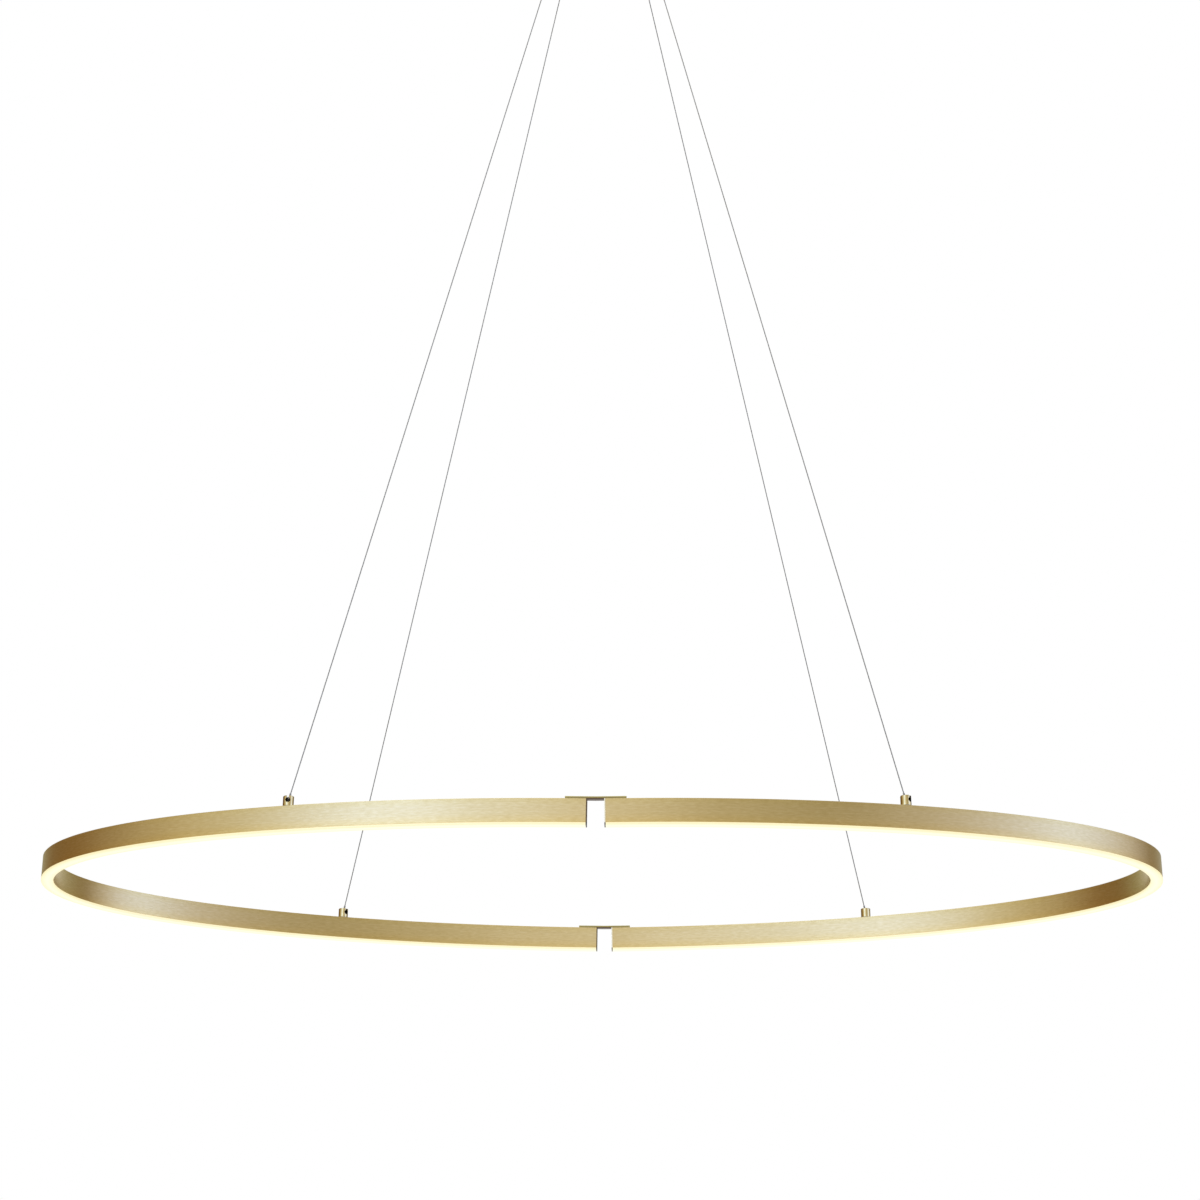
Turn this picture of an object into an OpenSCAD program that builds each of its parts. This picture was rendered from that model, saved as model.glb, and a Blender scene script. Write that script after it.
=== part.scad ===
// Oval pendant light: two lit half rings of bent channel, bridged on top, hung on four wire ropes
// from a round ceiling canopy. The origin is the middle of the canopy on the ceiling, +Z is up,
// the oval's length runs along X, and the near side is towards -Y.

/* [Ring] */
// Length of the oval over its outer faces
ring_l = 1500; // [900:10:2000]
// Depth of the oval over its outer faces
ring_w = 750; // [500:10:1000]
// Thickness of the band, from its outer to its inner face
band_t = 16; // [15:0.5:22]
// Height of the metal band
band_h = 30; // [28:0.5:45]
// Clear gap between the end caps of the two halves
joint_gap = 20.5; // [8:0.5:40]
// Rise of each half away from the joint, in degrees
fold = 0.74; // [0:0.01:1.5]

/* [Channel] */
// Thickness of the channel's side walls
wall_t = 1.6; // [1.2:0.1:2.5]
// Thickness of the channel's top web
web_t = 2; // [1.5:0.1:3]
// Clear height of the wiring space under the top web
duct_h = 9; // [8:0.5:11]
// Thickness of the shelf that carries the light board
shelf_t = 1.4; // [1:0.1:2]
// Width of the rib that the diffuser snaps behind
rib_w = 0.8; // [0.5:0.1:1]
// Thickness of the end caps
cap_t = 1.5; // [1:0.1:3]
// Length of the plugs that hold an end cap in the channel
cap_plug_l = 6; // [3:0.5:7]

/* [Light] */
// Height of the diffuser below the metal band
lens_h = 2.7; // [1.5:0.1:5]
// Thickness of the diffuser's clip legs
leg_t = 1.2; // [0.8:0.1:1.6]
// Width of the light board
board_w = 8; // [6:0.5:9]
// Thickness of the light board
board_t = 1.2; // [0.8:0.1:2]
// Length of one light chip
chip_l = 3.5; // [2:0.1:5]
// Width of one light chip
chip_w = 2.8; // [2:0.1:5]
// Height of one light chip
chip_h = 0.8; // [0.5:0.1:1.5]
// Number of light chips in each half
chip_n = 54; // [20:1:80]

/* [Bridges] */
// Length of each bridge plate
bridge_l = 75; // [60:1:120]
// Width of each bridge plate
bridge_w = 8; // [7.5:0.5:12]
// Thickness of each bridge plate
bridge_t = 3.5; // [2.5:0.1:5]
// Diameter of the bridge screws
bridge_screw_d = 3; // [2.5:0.1:3.5]
// Length of the bridge screws
bridge_screw_l = 9; // [8:0.5:10]
// Distance between the two screws at each side of a bridge
bridge_screw_step = 11; // [8:0.5:12]

/* [Rope holders] */
// Length from the middle of the ring to a holder, on the outer face
hang_x = 384; // [200:1:430]
// Diameter of a rope holder
holder_d = 13.5; // [12.5:0.1:15]
// Height of a rope holder
holder_h = 12.5; // [12:0.1:16]
// Height of the middle of the rope's ball above the holder's foot
ball_up = 7; // [6.8:0.1:7.2]
// Diameter of the ball pressed on the rope's end
ball_d = 5.6; // [5.3:0.1:5.8]
// Diameter of the ball's sleeve
sleeve_d = 2.4; // [2.2:0.1:2.6]
// Length of the sleeve above the middle of the ball
sleeve_l = 10; // [8:0.5:14]
// Diameter of the pivot screw under a holder
pivot_d = 4; // [3:0.5:4.5]
// Diameter of the pivot screw's head
pivot_head_d = 7.5; // [6:0.1:8]
// Height of the pivot screw's head
pivot_head_h = 2.4; // [1.5:0.1:3]
// Thickness of the washer under a holder
washer_t = 0.8; // [0.5:0.1:2]
// Thickness of the flanges of the bushes that insulate pivot screws and grippers
bush_t = 0.8; // [0.5:0.1:1.5]
// Thickness of those bushes' walls
bush_wall = 0.6; // [0.4:0.1:0.8]
// Diameter of the foot of the contact pin under a pivot screw
pin_foot_d = 3.6; // [3:0.1:4.5]
// Diameter of the contact pin's barrel
pin_d = 2.4; // [2:0.1:2.8]

/* [Ropes] */
// Diameter of the wire ropes
rope_d = 1.5; // [1:0.1:1.6]
// Height from the lower edge of the metal band to the ceiling, at the joint
drop = 1500; // [600:10:2500]
// Distance from the canopy's edge to the middle of a gripper
gripper_edge = 19.5; // [18:0.5:22]
// Radius of the bend where a rope enters its gripper
rope_bend_r = 12; // [6:1:20]
// Length of rope above the gripper's neck
rope_tail = 7; // [2:0.5:8]
// Diameter of the clamp that joins a lead to a rope's tail
clamp_d = 6; // [5:0.5:8]
// Diameter of the insulated leads in the canopy
lead_d = 1.8; // [1.4:0.1:2]

/* [Grippers] */
// Diameter of a gripper's head
gripper_d = 13; // [13:0.1:16]
// Height of a gripper's head below the canopy
gripper_h = 9; // [8:0.5:14]
// Diameter of a gripper's threaded neck
neck_d = 10; // [9.6:0.1:12]
// Height of the neck inside the canopy
neck_h = 16; // [15:0.5:17]
// Width of the neck's nut across its flats
nut_af = 14; // [13.5:0.1:16]
// Thickness of the neck's nut
nut_t = 3; // [2:0.1:5]
// Diameter of the release plunger
plunger_d = 4.6; // [4.4:0.1:5]
// Travel of the plunger
plunger_travel = 2.5; // [1:0.1:5]
// Diameter of the locking balls
lock_ball_d = 2; // [1.8:0.1:2]
// Diameter of the spring's wire
spring_wire_d = 0.5; // [0.4:0.05:0.6]
// Number of turns of the spring
spring_turns = 4; // [3:1:5]

/* [Canopy] */
// Diameter of the canopy
canopy_d = 220; // [218:1:260]
// Height of the canopy
canopy_h = 40; // [38:0.5:50]
// Thickness of the canopy's sheet
canopy_t = 1.2; // [0.8:0.1:2]
// Radius of the canopy's lower edge
canopy_r = 6; // [3:0.5:10]
// Thickness of the ceiling plate
plate_t = 1.5; // [1:0.1:3]
// Height of the ceiling plate's rim
plate_rim_h = 14; // [12:0.5:20]
// Diameter of the circle of ceiling screws
mount_pcd = 160; // [150:1:165]
// Diameter of the holes for the ceiling screws
mount_hole_d = 5.5; // [4:0.1:6]
// Diameter of the hole for the house wiring
wire_hole_d = 22; // [10:1:24]
// Diameter of the canopy's side screws
side_screw_d = 4; // [3:0.5:5]

/* [Driver] */
// Length of the driver
driver_l = 140; // [100:1:145]
// Width of the driver
driver_w = 34; // [24:1:36]
// Height of the driver
driver_h = 26; // [18:0.5:28]
// Length of the terminal block
block_l = 38; // [28:1:50]
// Width of the terminal block
block_w = 16; // [12:0.5:20]
// Height of the terminal block
block_h = 13; // [10:0.5:18]

/* [Hidden] */

// Clearances
fit = 0.1;      // a fixed piece in its seat
run = 0.15;     // a piece that slides or turns
loose = 0.3;    // pieces of different bodies side by side
cut = 1;        // how far a cutting solid runs past a face

FINE_FN = 48;   // facets of the preview on small round pieces

brass = [0.78, 0.71, 0.54];
opal = [1, 0.99, 0.9];
steel = [0.72, 0.73, 0.73];
dark_zinc = [0.45, 0.46, 0.47];
board_white = [0.93, 0.93, 0.9];
case_white = [0.86, 0.86, 0.84];

// The half oval. It starts at the near joint, runs round the outer end and ends at the far joint.
profile_end = joint_gap / 2 + cap_t;
semi_l = ring_l / 2 - profile_end;
semi_w = ring_w / 2;
STEPS = 90;     // straight steps round the half oval, two degrees of its angle each

function outline(t) = [profile_end + semi_l * sin(t), -semi_w * cos(t)];
function heading(t) = atan2(semi_w * sin(t), semi_l * cos(t));
function inward(a) = [-sin(a), cos(a)];
function inset(t, s) = outline(t) + s * inward(heading(t));
function inset_line(s, past) = concat(
  [inset(0, s) - [past, 0]],
  [for (i = [0:STEPS]) inset(180 * i / STEPS, s)],
  [inset(180, s) - [past, 0]]
);
function reversed(list) = [for (i = [len(list) - 1:-1:0]) list[i]];

// A band that follows the half oval between two insets from its outer face and two heights.
// It ends a little past the half's end faces where it cuts a space.
module band(s0, s1, z0, z1, past = 0) {
  translate([0, 0, z0])
    linear_extrude(z1 - z0)
      polygon(concat(inset_line(s0, past), reversed(inset_line(s1, past))));
}

// Heights in a half's own frame, where the top of the metal is zero
shelf_top = -web_t - duct_h;
shelf_low = shelf_top - shelf_t;
metal_low = -band_h;
lens_low = metal_low - lens_h;
top_z = band_h - drop;

// Where a half's own frame lies in the lamp. A side is 1 for right and -1 for left.
function half_point(p, side) = [
  side * (p[0] * cos(fold) - p[2] * sin(fold)),
  p[1],
  p[0] * sin(fold) + p[2] * cos(fold) + top_z
];
module half(side) {
  mirror([side < 0 ? 1 : 0, 0, 0])
    translate([0, 0, top_z])
      rotate([0, -fold, 0])
        children();
}

// Rope holders: side is left or right, depth is -1 for near and 1 for far.
hang_t = asin((hang_x - profile_end) / semi_l);
hang_spot = inset(hang_t, band_t / 2);
holder_foot = washer_t + fit;
bush_d = pivot_d + 2 * run + 2 * bush_wall;
pivot_head_z = -web_t - bush_t - fit;
pivot_head_low = pivot_head_z - pivot_head_h;
function hang_at(depth, z) = [hang_spot[0], -depth * hang_spot[1], z];
function ball_at(side, depth) = half_point(hang_at(depth, holder_foot + ball_up), side);

// The grippers stand on the canopy's diagonals, so far out along X and along Y.
gripper_xy = (canopy_d / 2 - gripper_edge) / sqrt(2);

// Heights in the canopy. The plunger still shows when it is pushed in.
plunger_out = plunger_travel + 1.5;
canopy_low = -canopy_h;
floor_top = canopy_low + canopy_t;
gripper_low = canopy_low - bush_t - gripper_h;
neck_hole_d = neck_d + 2 * fit + 2 * bush_wall;
neck_top = canopy_low + neck_h;
plunger_low = gripper_low - plunger_out;
bend_z = plunger_low - loose;

// Rounded rectangle with its lower left corner at the origin
module round_rect(size, r) {
  hull()
    for (x = [r, size[0] - r], y = [r, size[1] - r])
      translate([x, y])
        circle(r, $fn = 24);
}

// The channel, with a closed duct over the shelf and an open light space under it
rib_z = metal_low + 4;
rib_h = 1;
module channel() {
  difference() {
    band(0, band_t, metal_low, 0);
    band(wall_t, band_t - wall_t, shelf_top, -web_t, cut);
    band(wall_t, band_t - wall_t, rib_z + rib_h, shelf_low, cut);
    band(wall_t + rib_w, band_t - wall_t - rib_w, rib_z - cut, rib_z + rib_h + cut, cut);
    band(wall_t, band_t - wall_t, metal_low - cut, rib_z, cut);
  }
}

module profile(side) {
  color(brass)
    half(side)
      difference() {
        channel();
        for (depth = [-1, 1]) {
          translate(hang_at(depth, -web_t - cut))
            cylinder(d = bush_d + fit, h = web_t + 2 * cut, $fn = FINE_FN);
          translate(hang_at(depth, shelf_low - cut))
            cylinder(d = pin_foot_d + 2 * loose, h = shelf_t + 2 * cut, $fn = FINE_FN);
          bridge_screw_spots(depth)
            translate([0, 0, -web_t - cut])
              cylinder(d = bridge_screw_d + fit, h = web_t + 2 * cut, $fn = FINE_FN);
        }
      }
}

// The diffuser's head is as wide as the band, with two legs that snap behind the ribs.
module diffuser(side) {
  leg_s = wall_t + rib_w + fit;
  hook_z = rib_z + rib_h + fit;
  hook_h = 1;
  color(opal)
    half(side) {
      band(0, band_t, lens_low, metal_low);
      band(leg_s, leg_s + leg_t, metal_low, hook_z + hook_h);
      band(band_t - leg_s - leg_t, band_t - leg_s, metal_low, hook_z + hook_h);
      band(wall_t + fit, leg_s + fit, hook_z, hook_z + hook_h);
      band(band_t - leg_s - fit, band_t - wall_t - fit, hook_z, hook_z + hook_h);
    }
}

// The light board stops short of the end caps' plugs.
module trim_ends(back) {
  intersection() {
    children();
    translate([profile_end + back, -ring_w, -drop])
      cube([ring_l, 2 * ring_w, 2 * drop]);
  }
}

module light_board(side) {
  color(board_white)
    half(side)
      trim_ends(cap_plug_l + 1)
        band((band_t - board_w) / 2, (band_t + board_w) / 2, shelf_low - board_t, shelf_low);
}

module light_chips(side) {
  first = 6;
  color(opal)
    half(side)
      for (i = [0:chip_n - 1]) {
        t = first + (180 - 2 * first) * i / (chip_n - 1);
        p = inset(t, band_t / 2);
        translate([p[0], p[1], shelf_low - board_t - chip_h / 2])
          rotate(heading(t))
            cube([chip_l, chip_w, chip_h], center = true);
      }
}

// An end cap covers the whole section and plugs into the duct and the light space.
module end_cap(side, depth) {
  inner = band_t - 2 * wall_t - 2 * fit;
  plug_w = board_w - 1;
  low_h = 6;
  y0 = depth < 0 ? -semi_w : semi_w - band_t;
  color(brass)
    half(side)
      translate([profile_end, y0, 0]) {
        translate([-cap_t, 0, lens_low])
          rotate([90, 0, 90])
            linear_extrude(cap_t)
              difference() {
                square([band_t, band_h + lens_h]);
                for (x = [0, band_t])
                  translate([x, 0])
                    rotate(45)
                      square(1, center = true);
              }
        translate([0, wall_t + fit, shelf_top + fit])
          cube([cap_plug_l, inner, duct_h - 2 * fit]);
        translate([0, (band_t - plug_w) / 2, shelf_low - fit - low_h])
          cube([cap_plug_l, plug_w, low_h]);
      }
}

// Places its child on the screws of one bridge, in a half's own frame. The first screw is clear
// of the end cap's plug.
bridge_screw_x = cap_plug_l + bridge_screw_d / 2 + 1.5;
module bridge_screw_spots(depth) {
  for (x = [bridge_screw_x, bridge_screw_x + bridge_screw_step])
    translate([profile_end + x, depth * (semi_w - band_t / 2), 0])
      children();
}

module countersunk_screw(d, l) {
  head_r = d * 0.95;
  translate([0, 0, -l])
    cylinder(d = d, h = l, $fn = FINE_FN);
  translate([0, 0, d / 2 - head_r])
    cylinder(r1 = d / 2, r2 = head_r, h = head_r - d / 2, $fn = FINE_FN);
}

// A bridge is folded in the middle, because each half rises away from the joint.
module bridge(depth) {
  color(brass)
    difference() {
      for (side = [-1, 1])
        half(side)
          translate([0, depth * (semi_w - band_t / 2) - bridge_w / 2, 0])
            cube([bridge_l / 2, bridge_w, bridge_t]);
      for (side = [-1, 1])
        half(side)
          bridge_screw_spots(depth)
            translate([0, 0, bridge_t]) {
              translate([0, 0, -bridge_t - cut])
                cylinder(d = bridge_screw_d + fit, h = bridge_t + 2 * cut, $fn = FINE_FN);
              sink();
            }
    }
}

module sink() {
  wide = bridge_screw_d * 0.95;
  deep = wide - bridge_screw_d / 2;
  translate([0, 0, -deep])
    cylinder(r1 = bridge_screw_d / 2, r2 = wide, h = deep, $fn = FINE_FN);
  cylinder(r = wide, h = cut, $fn = FINE_FN);
}

module bridge_screws() {
  color(brass)
    for (side = [-1, 1], depth = [-1, 1])
      half(side)
        bridge_screw_spots(depth)
          translate([0, 0, bridge_t])
            difference() {
              countersunk_screw(bridge_screw_d, bridge_screw_l);
              translate([0, 0, -1])
                cylinder(d = 2, h = 1 + cut, $fn = 6);
            }
}

// The holder turns on its pivot screw. Its keyhole takes the rope's ball from the side, and the
// ball then pulls up into the flared bore.
module holder(side, depth, turn) {
  chamber_r = ball_d / 2 + loose;
  throat_r = ball_d / 2 - 0.45;
  throat_z = ball_up + sqrt(chamber_r * chamber_r - throat_r * throat_r);
  flare_r = throat_r + (holder_h - throat_z) * 0.3;
  slot_w = sleeve_d + 2 * loose;
  rim = 0.6;
  color(brass)
    half(side)
      translate(hang_at(depth, holder_foot))
        rotate(turn)
          difference() {
            rotate_extrude($fn = FINE_FN)
              polygon([
                [0, 0], [holder_d / 2, 0], [holder_d / 2, holder_h - rim],
                [holder_d / 2 - rim, holder_h], [0, holder_h]
              ]);
            translate([0, 0, -cut])
              cylinder(d = pivot_d + fit, h = cut + screw_tip(), $fn = FINE_FN);
            translate([0, 0, ball_up])
              sphere(chamber_r, $fn = FINE_FN);
            translate([0, 0, ball_up])
              rotate([0, 90, 0])
                cylinder(r = chamber_r, h = holder_d, $fn = FINE_FN);
            translate([0, 0, ball_up])
              cylinder(r = throat_r, h = holder_h, $fn = FINE_FN);
            translate([0, 0, throat_z])
              cylinder(r1 = throat_r, r2 = flare_r, h = holder_h - throat_z, $fn = FINE_FN);
            translate([0, -slot_w / 2, ball_up])
              cube([holder_d, slot_w, holder_h]);
          }
}

// The pivot screw ends under the ball's chamber, so far above the holder's foot.
function screw_tip() = ball_up - ball_d / 2 - loose - 0.8;

module holder_screw(side, depth) {
  color(steel)
    half(side)
      translate(hang_at(depth, pivot_head_z)) {
        cylinder(d = pivot_d, h = holder_foot + screw_tip() - pivot_head_z, $fn = FINE_FN);
        translate([0, 0, -pivot_head_h])
          cylinder(d = pivot_head_d, h = pivot_head_h, $fn = FINE_FN);
      }
}

module holder_washers() {
  color(case_white)
    for (side = [-1, 1], depth = [-1, 1])
      half(side)
        translate(hang_at(depth, 0))
          difference() {
            cylinder(d = holder_d - 1, h = washer_t, $fn = FINE_FN);
            translate([0, 0, -cut])
              cylinder(d = pivot_d + 2 * run, h = washer_t + 2 * cut, $fn = FINE_FN);
          }
}

// The ropes feed the lamp, so a flanged bush keeps each pivot screw off the band.
module holder_bushes() {
  color(case_white)
    for (side = [-1, 1], depth = [-1, 1])
      half(side)
        translate(hang_at(depth, -web_t))
          difference() {
            union() {
              cylinder(d = bush_d, h = web_t, $fn = FINE_FN);
              translate([0, 0, -bush_t])
                cylinder(d = pivot_head_d + 1, h = bush_t, $fn = FINE_FN);
            }
            translate([0, 0, -bush_t - cut])
              cylinder(d = pivot_d + 2 * run, h = bush_t + web_t + 2 * cut, $fn = FINE_FN);
          }
}

// A sprung pin stands on the light board, passes through the shelf and presses on the pivot
// screw's head, so that the light is fed while the holder turns.
module contact_pins() {
  barrel_top = (shelf_top + pivot_head_low) / 2;
  tip_d = pin_d - 1;
  color(steel)
    for (side = [-1, 1], depth = [-1, 1])
      half(side)
        translate(hang_at(depth, shelf_low)) {
          cylinder(d = pin_foot_d, h = shelf_t / 2, $fn = FINE_FN);
          cylinder(d = pin_d, h = barrel_top - shelf_low, $fn = FINE_FN);
          cylinder(d = tip_d, h = pivot_head_low - run - shelf_low, $fn = FINE_FN);
        }
}

// A rope runs straight from its ball to the gripper, then bends upright to enter the plunger.
function corner_at(side, depth, tilt) =
  [side * gripper_xy, depth * gripper_xy, bend_z - rope_bend_r * tan(tilt / 2)];
function lean(v) = acos(v[2] / norm(v));
function rope_tilt(side, depth) =
  lean([side * gripper_xy, depth * gripper_xy, bend_z] - ball_at(side, depth));
function rope_run(side, depth) =
  corner_at(side, depth, rope_tilt(side, depth)) - ball_at(side, depth);

module along_rope(side, depth) {
  v = rope_run(side, depth);
  translate(ball_at(side, depth))
    rotate([0, lean(v), atan2(v[1], v[0])])
      children();
}

// The rope's route in its own upright plane, as [distance out from the ball, height, lean]
rope_seat = -ball_d / 2 + 1;    // the rope's end, from the middle of its ball
BEND_STEPS = 6;
function rope_route(side, depth) =
  let (
    v = rope_run(side, depth),
    tilt = lean(v),
    back = rope_bend_r * tan(tilt / 2),
    far = norm([v[0], v[1]]),
    low = [rope_seat * sin(tilt), rope_seat * cos(tilt), tilt],
    high = [far, neck_top + rope_tail - ball_at(side, depth)[2], 0]
  )
  concat(
    [low],
    [
      for (k = [0:BEND_STEPS])
        let (a = tilt * (1 - k / BEND_STEPS))
        [far - rope_bend_r * (1 - cos(a)), v[2] + back - rope_bend_r * sin(a), a]
    ],
    [high]
  );

// Faces of a closed tube with so many rings of so many sides
function tube_faces(rings, sides) =
  let (last = (rings - 1) * sides)
  concat(
    [
      for (k = [0:rings - 2], i = [0:sides - 1])
        let (a = k * sides + i, b = k * sides + (i + 1) % sides)
        each [[a, b, b + sides], [a, b + sides, a + sides]]
    ],
    [for (i = [1:sides - 2]) [0, i + 1, i]],
    [for (i = [1:sides - 2]) [last, last + i, last + i + 1]]
  );

module rope(side, depth) {
  sides = 12;
  v = rope_run(side, depth);
  route = rope_route(side, depth);
  r = rope_d / 2;
  points = [
    for (p = route, i = [0:sides - 1])
      let (b = 360 * i / sides)
      [p[0] + r * cos(b) * cos(p[2]), r * sin(b), p[1] - r * cos(b) * sin(p[2])]
  ];
  color(steel)
    translate(ball_at(side, depth))
      rotate(atan2(v[1], v[0]))
        polyhedron(points, tube_faces(len(route), sides));
}

module rope_end(side, depth) {
  bore = rope_d + fit;
  color(steel)
    along_rope(side, depth)
      difference() {
        union() {
          sphere(d = ball_d, $fn = FINE_FN);
          cylinder(d = sleeve_d, h = sleeve_l, $fn = FINE_FN);
        }
        translate([0, 0, rope_seat])
          cylinder(d = bore, h = sleeve_l + ball_d, $fn = 24);
      }
}

// The gripper: balls in the plunger are pulled down a cone and bite on the rope.
cone_low = 2.2;         // the cone's start above the gripper's lower face
lock_up = cone_low + 4; // the locking balls' middle above that face
lock_reach = rope_d / 2 + lock_ball_d + 2 * 0.05;
cone_rate = 0.09;       // the cone's growth in radius for each millimetre of height
neck_roof = 2;          // the neck's roof over the spring
spring_seat = lock_up + 2.4;

function cone_r(z) = lock_reach + (z - lock_up) * cone_rate;

module at_gripper(side, depth) {
  translate([side * gripper_xy, depth * gripper_xy, gripper_low])
    children();
}

module gripper(side, depth) {
  height = neck_top - gripper_low;
  edge = 1.2;
  color(brass)
    at_gripper(side, depth)
      rotate_extrude($fn = FINE_FN)
        polygon([
          [plunger_d / 2 + run, 0], [gripper_d / 2 - edge, 0], [gripper_d / 2, edge],
          [gripper_d / 2, gripper_h], [neck_d / 2, gripper_h], [neck_d / 2, height],
          [rope_d / 2 + loose, height], [rope_d / 2 + loose, height - neck_roof],
          [cone_r(height - neck_roof), height - neck_roof],
          [cone_r(cone_low), cone_low], [plunger_d / 2 + run, cone_low]
        ]);
}

module plunger(side, depth) {
  flange_r = cone_r(lock_up + 1.4) - run;
  color(steel)
    at_gripper(side, depth) {
      difference() {
        union() {
          translate([0, 0, -plunger_out])
            cylinder(d = plunger_d, h = plunger_out + spring_seat, $fn = FINE_FN);
          translate([0, 0, lock_up + 1.4])
            cylinder(r = flange_r, h = spring_seat - lock_up - 1.4, $fn = FINE_FN);
        }
        translate([0, 0, -plunger_out - cut])
          cylinder(d = rope_d + 2 * run, h = plunger_out + spring_seat + 2 * cut, $fn = FINE_FN);
        for (a = [0, 120, 240])
          rotate(a)
            translate([0, 0, lock_up])
              rotate([0, 90, 0])
                cylinder(d = lock_ball_d + fit, h = gripper_d, $fn = 24);
      }
      for (a = [0, 120, 240])
        rotate(a)
          translate([rope_d / 2 + 0.05 + lock_ball_d / 2, 0, lock_up])
            sphere(d = lock_ball_d, $fn = 24);
    }
}

// The spring pushes the plunger down into the cone. It is one unbroken wire with 8 rings a turn.
spring_r = plunger_d / 2 - spring_wire_d / 2;
spring_top = neck_top - gripper_low - neck_roof;
function ring_of(a, z, sides) = [
  for (i = [0:sides - 1])
    let (b = 360 * i / sides, q = spring_r + spring_wire_d / 2 * cos(b))
    [q * cos(a), q * sin(a), z + spring_wire_d / 2 * sin(b)]
];
module spring(side, depth) {
  sides = 6;
  rings = spring_turns * 8;
  low = spring_seat + spring_wire_d / 2 + 0.05;
  high = spring_top - spring_wire_d / 2 - 0.05;
  points = [
    for (k = [0:rings]) each ring_of(360 * k / 8, low + (high - low) * k / rings, sides)
  ];
  color(steel)
    at_gripper(side, depth)
      polyhedron(points, tube_faces(rings + 1, sides));
}

module gripper_nuts() {
  color(dark_zinc)
    for (side = [-1, 1], depth = [-1, 1])
      translate([side * gripper_xy, depth * gripper_xy, floor_top + bush_t])
        difference() {
          cylinder(d = nut_af / cos(30), h = nut_t, $fn = 6);
          translate([0, 0, -cut])
            cylinder(d = neck_d + fit, h = nut_t + 2 * cut, $fn = FINE_FN);
        }
}

// A flanged bush under the canopy's floor and a washer over it keep each live gripper off it.
module gripper_bushes() {
  color(case_white)
    for (side = [-1, 1], depth = [-1, 1])
      translate([side * gripper_xy, depth * gripper_xy, canopy_low])
        difference() {
          union() {
            translate([0, 0, -bush_t])
              cylinder(d = gripper_d, h = bush_t, $fn = FINE_FN);
            cylinder(d = neck_hole_d - fit, h = canopy_t, $fn = FINE_FN);
            translate([0, 0, canopy_t])
              cylinder(d = nut_af + 2, h = bush_t, $fn = FINE_FN);
          }
          translate([0, 0, -bush_t - cut])
            cylinder(d = neck_d + fit, h = canopy_t + 2 * bush_t + 2 * cut, $fn = FINE_FN);
        }
}

// A clamp caps each rope's tail. Its lead enters from the side that faces the driver.
clamp_roof = 1;                 // its height over the rope's end
clamp_wall = 0.6;               // between the rope and the lead
clamp_h = rope_tail + clamp_roof;
clamp_z = neck_top + loose + clamp_h / 2;
clamp_grip = clamp_d / 2 - rope_d / 2 - clamp_wall;
function clamp_at(side, depth) = [side * gripper_xy, depth * gripper_xy, clamp_z];

module rope_clamps() {
  color(brass)
    for (side = [-1, 1], depth = [-1, 1])
      translate(clamp_at(side, depth))
        difference() {
          cylinder(d = clamp_d, h = clamp_h, center = true, $fn = FINE_FN);
          translate([0, 0, -clamp_h / 2 - cut])
            cylinder(d = rope_d + fit, h = neck_top + rope_tail - clamp_z + clamp_h / 2 + cut, $fn = 24);
          translate([0, -depth * (clamp_d / 2 - clamp_grip), 0])
            rotate([depth * 90, 0, 0])
              cylinder(d = lead_d + fit, h = clamp_d, $fn = 24);
        }
}

// Canopy
side_angles = [90, 210, 330];
side_screw_z = -8;
plate_r = canopy_d / 2 - canopy_t - 0.4;
nut_l = 4;

module canopy_cover() {
  r = canopy_d / 2;
  inner_r = max(canopy_r - canopy_t, 0.5);
  color(brass)
    difference() {
      rotate_extrude($fn = 96)
        difference() {
          union() {
            translate([0, canopy_low])
              square([r - canopy_r, canopy_h]);
            translate([0, canopy_low + canopy_r])
              square([r, canopy_h - canopy_r]);
            translate([r - canopy_r, canopy_low + canopy_r])
              intersection() {
                circle(canopy_r, $fn = FINE_FN);
                translate([0, -canopy_r])
                  square(canopy_r);
              }
          }
          translate([-cut, floor_top])
            square([r - canopy_t - inner_r + cut, canopy_h + cut]);
          translate([-cut, floor_top + inner_r])
            square([r - canopy_t + cut, canopy_h + cut]);
          translate([r - canopy_t - inner_r, floor_top + inner_r])
            intersection() {
              circle(inner_r, $fn = FINE_FN);
              translate([0, -inner_r])
                square(inner_r);
            }
        }
      for (side = [-1, 1], depth = [-1, 1])
        translate([side * gripper_xy, depth * gripper_xy, canopy_low - cut])
          cylinder(d = neck_hole_d, h = canopy_t + 2 * cut, $fn = FINE_FN);
      for (a = side_angles)
        rotate(a)
          translate([plate_r - cut, 0, side_screw_z])
            rotate([0, 90, 0])
              cylinder(d = side_screw_d + 2 * fit, h = canopy_t + 4 * cut, $fn = FINE_FN);
    }
}

module ceiling_plate() {
  color(case_white)
    difference() {
      union() {
        rotate_extrude($fn = 96)
          polygon([
            [0, -plate_t], [plate_r - plate_t, -plate_t], [plate_r - plate_t, -plate_rim_h],
            [plate_r, -plate_rim_h], [plate_r, 0], [0, 0]
          ]);
        for (a = side_angles)
          rotate(a)
            translate([plate_r - plate_t - nut_l, 0, side_screw_z])
              rotate([0, 90, 0])
                cylinder(d = side_screw_d + 4, h = nut_l + plate_t / 2, $fn = FINE_FN);
      }
      for (a = [0, 90, 180, 270])
        rotate(a)
          translate([mount_pcd / 2, 0, -plate_t - cut])
            cylinder(d = mount_hole_d, h = plate_t + 2 * cut, $fn = FINE_FN);
      translate([0, 0, -plate_t - cut])
        cylinder(d = wire_hole_d, h = plate_t + 2 * cut, $fn = FINE_FN);
      for (a = side_angles)
        rotate(a)
          translate([plate_r - plate_t - nut_l - cut, 0, side_screw_z])
            rotate([0, 90, 0])
              cylinder(d = side_screw_d + fit, h = nut_l + plate_t + 2 * cut, $fn = FINE_FN);
    }
}

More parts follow.
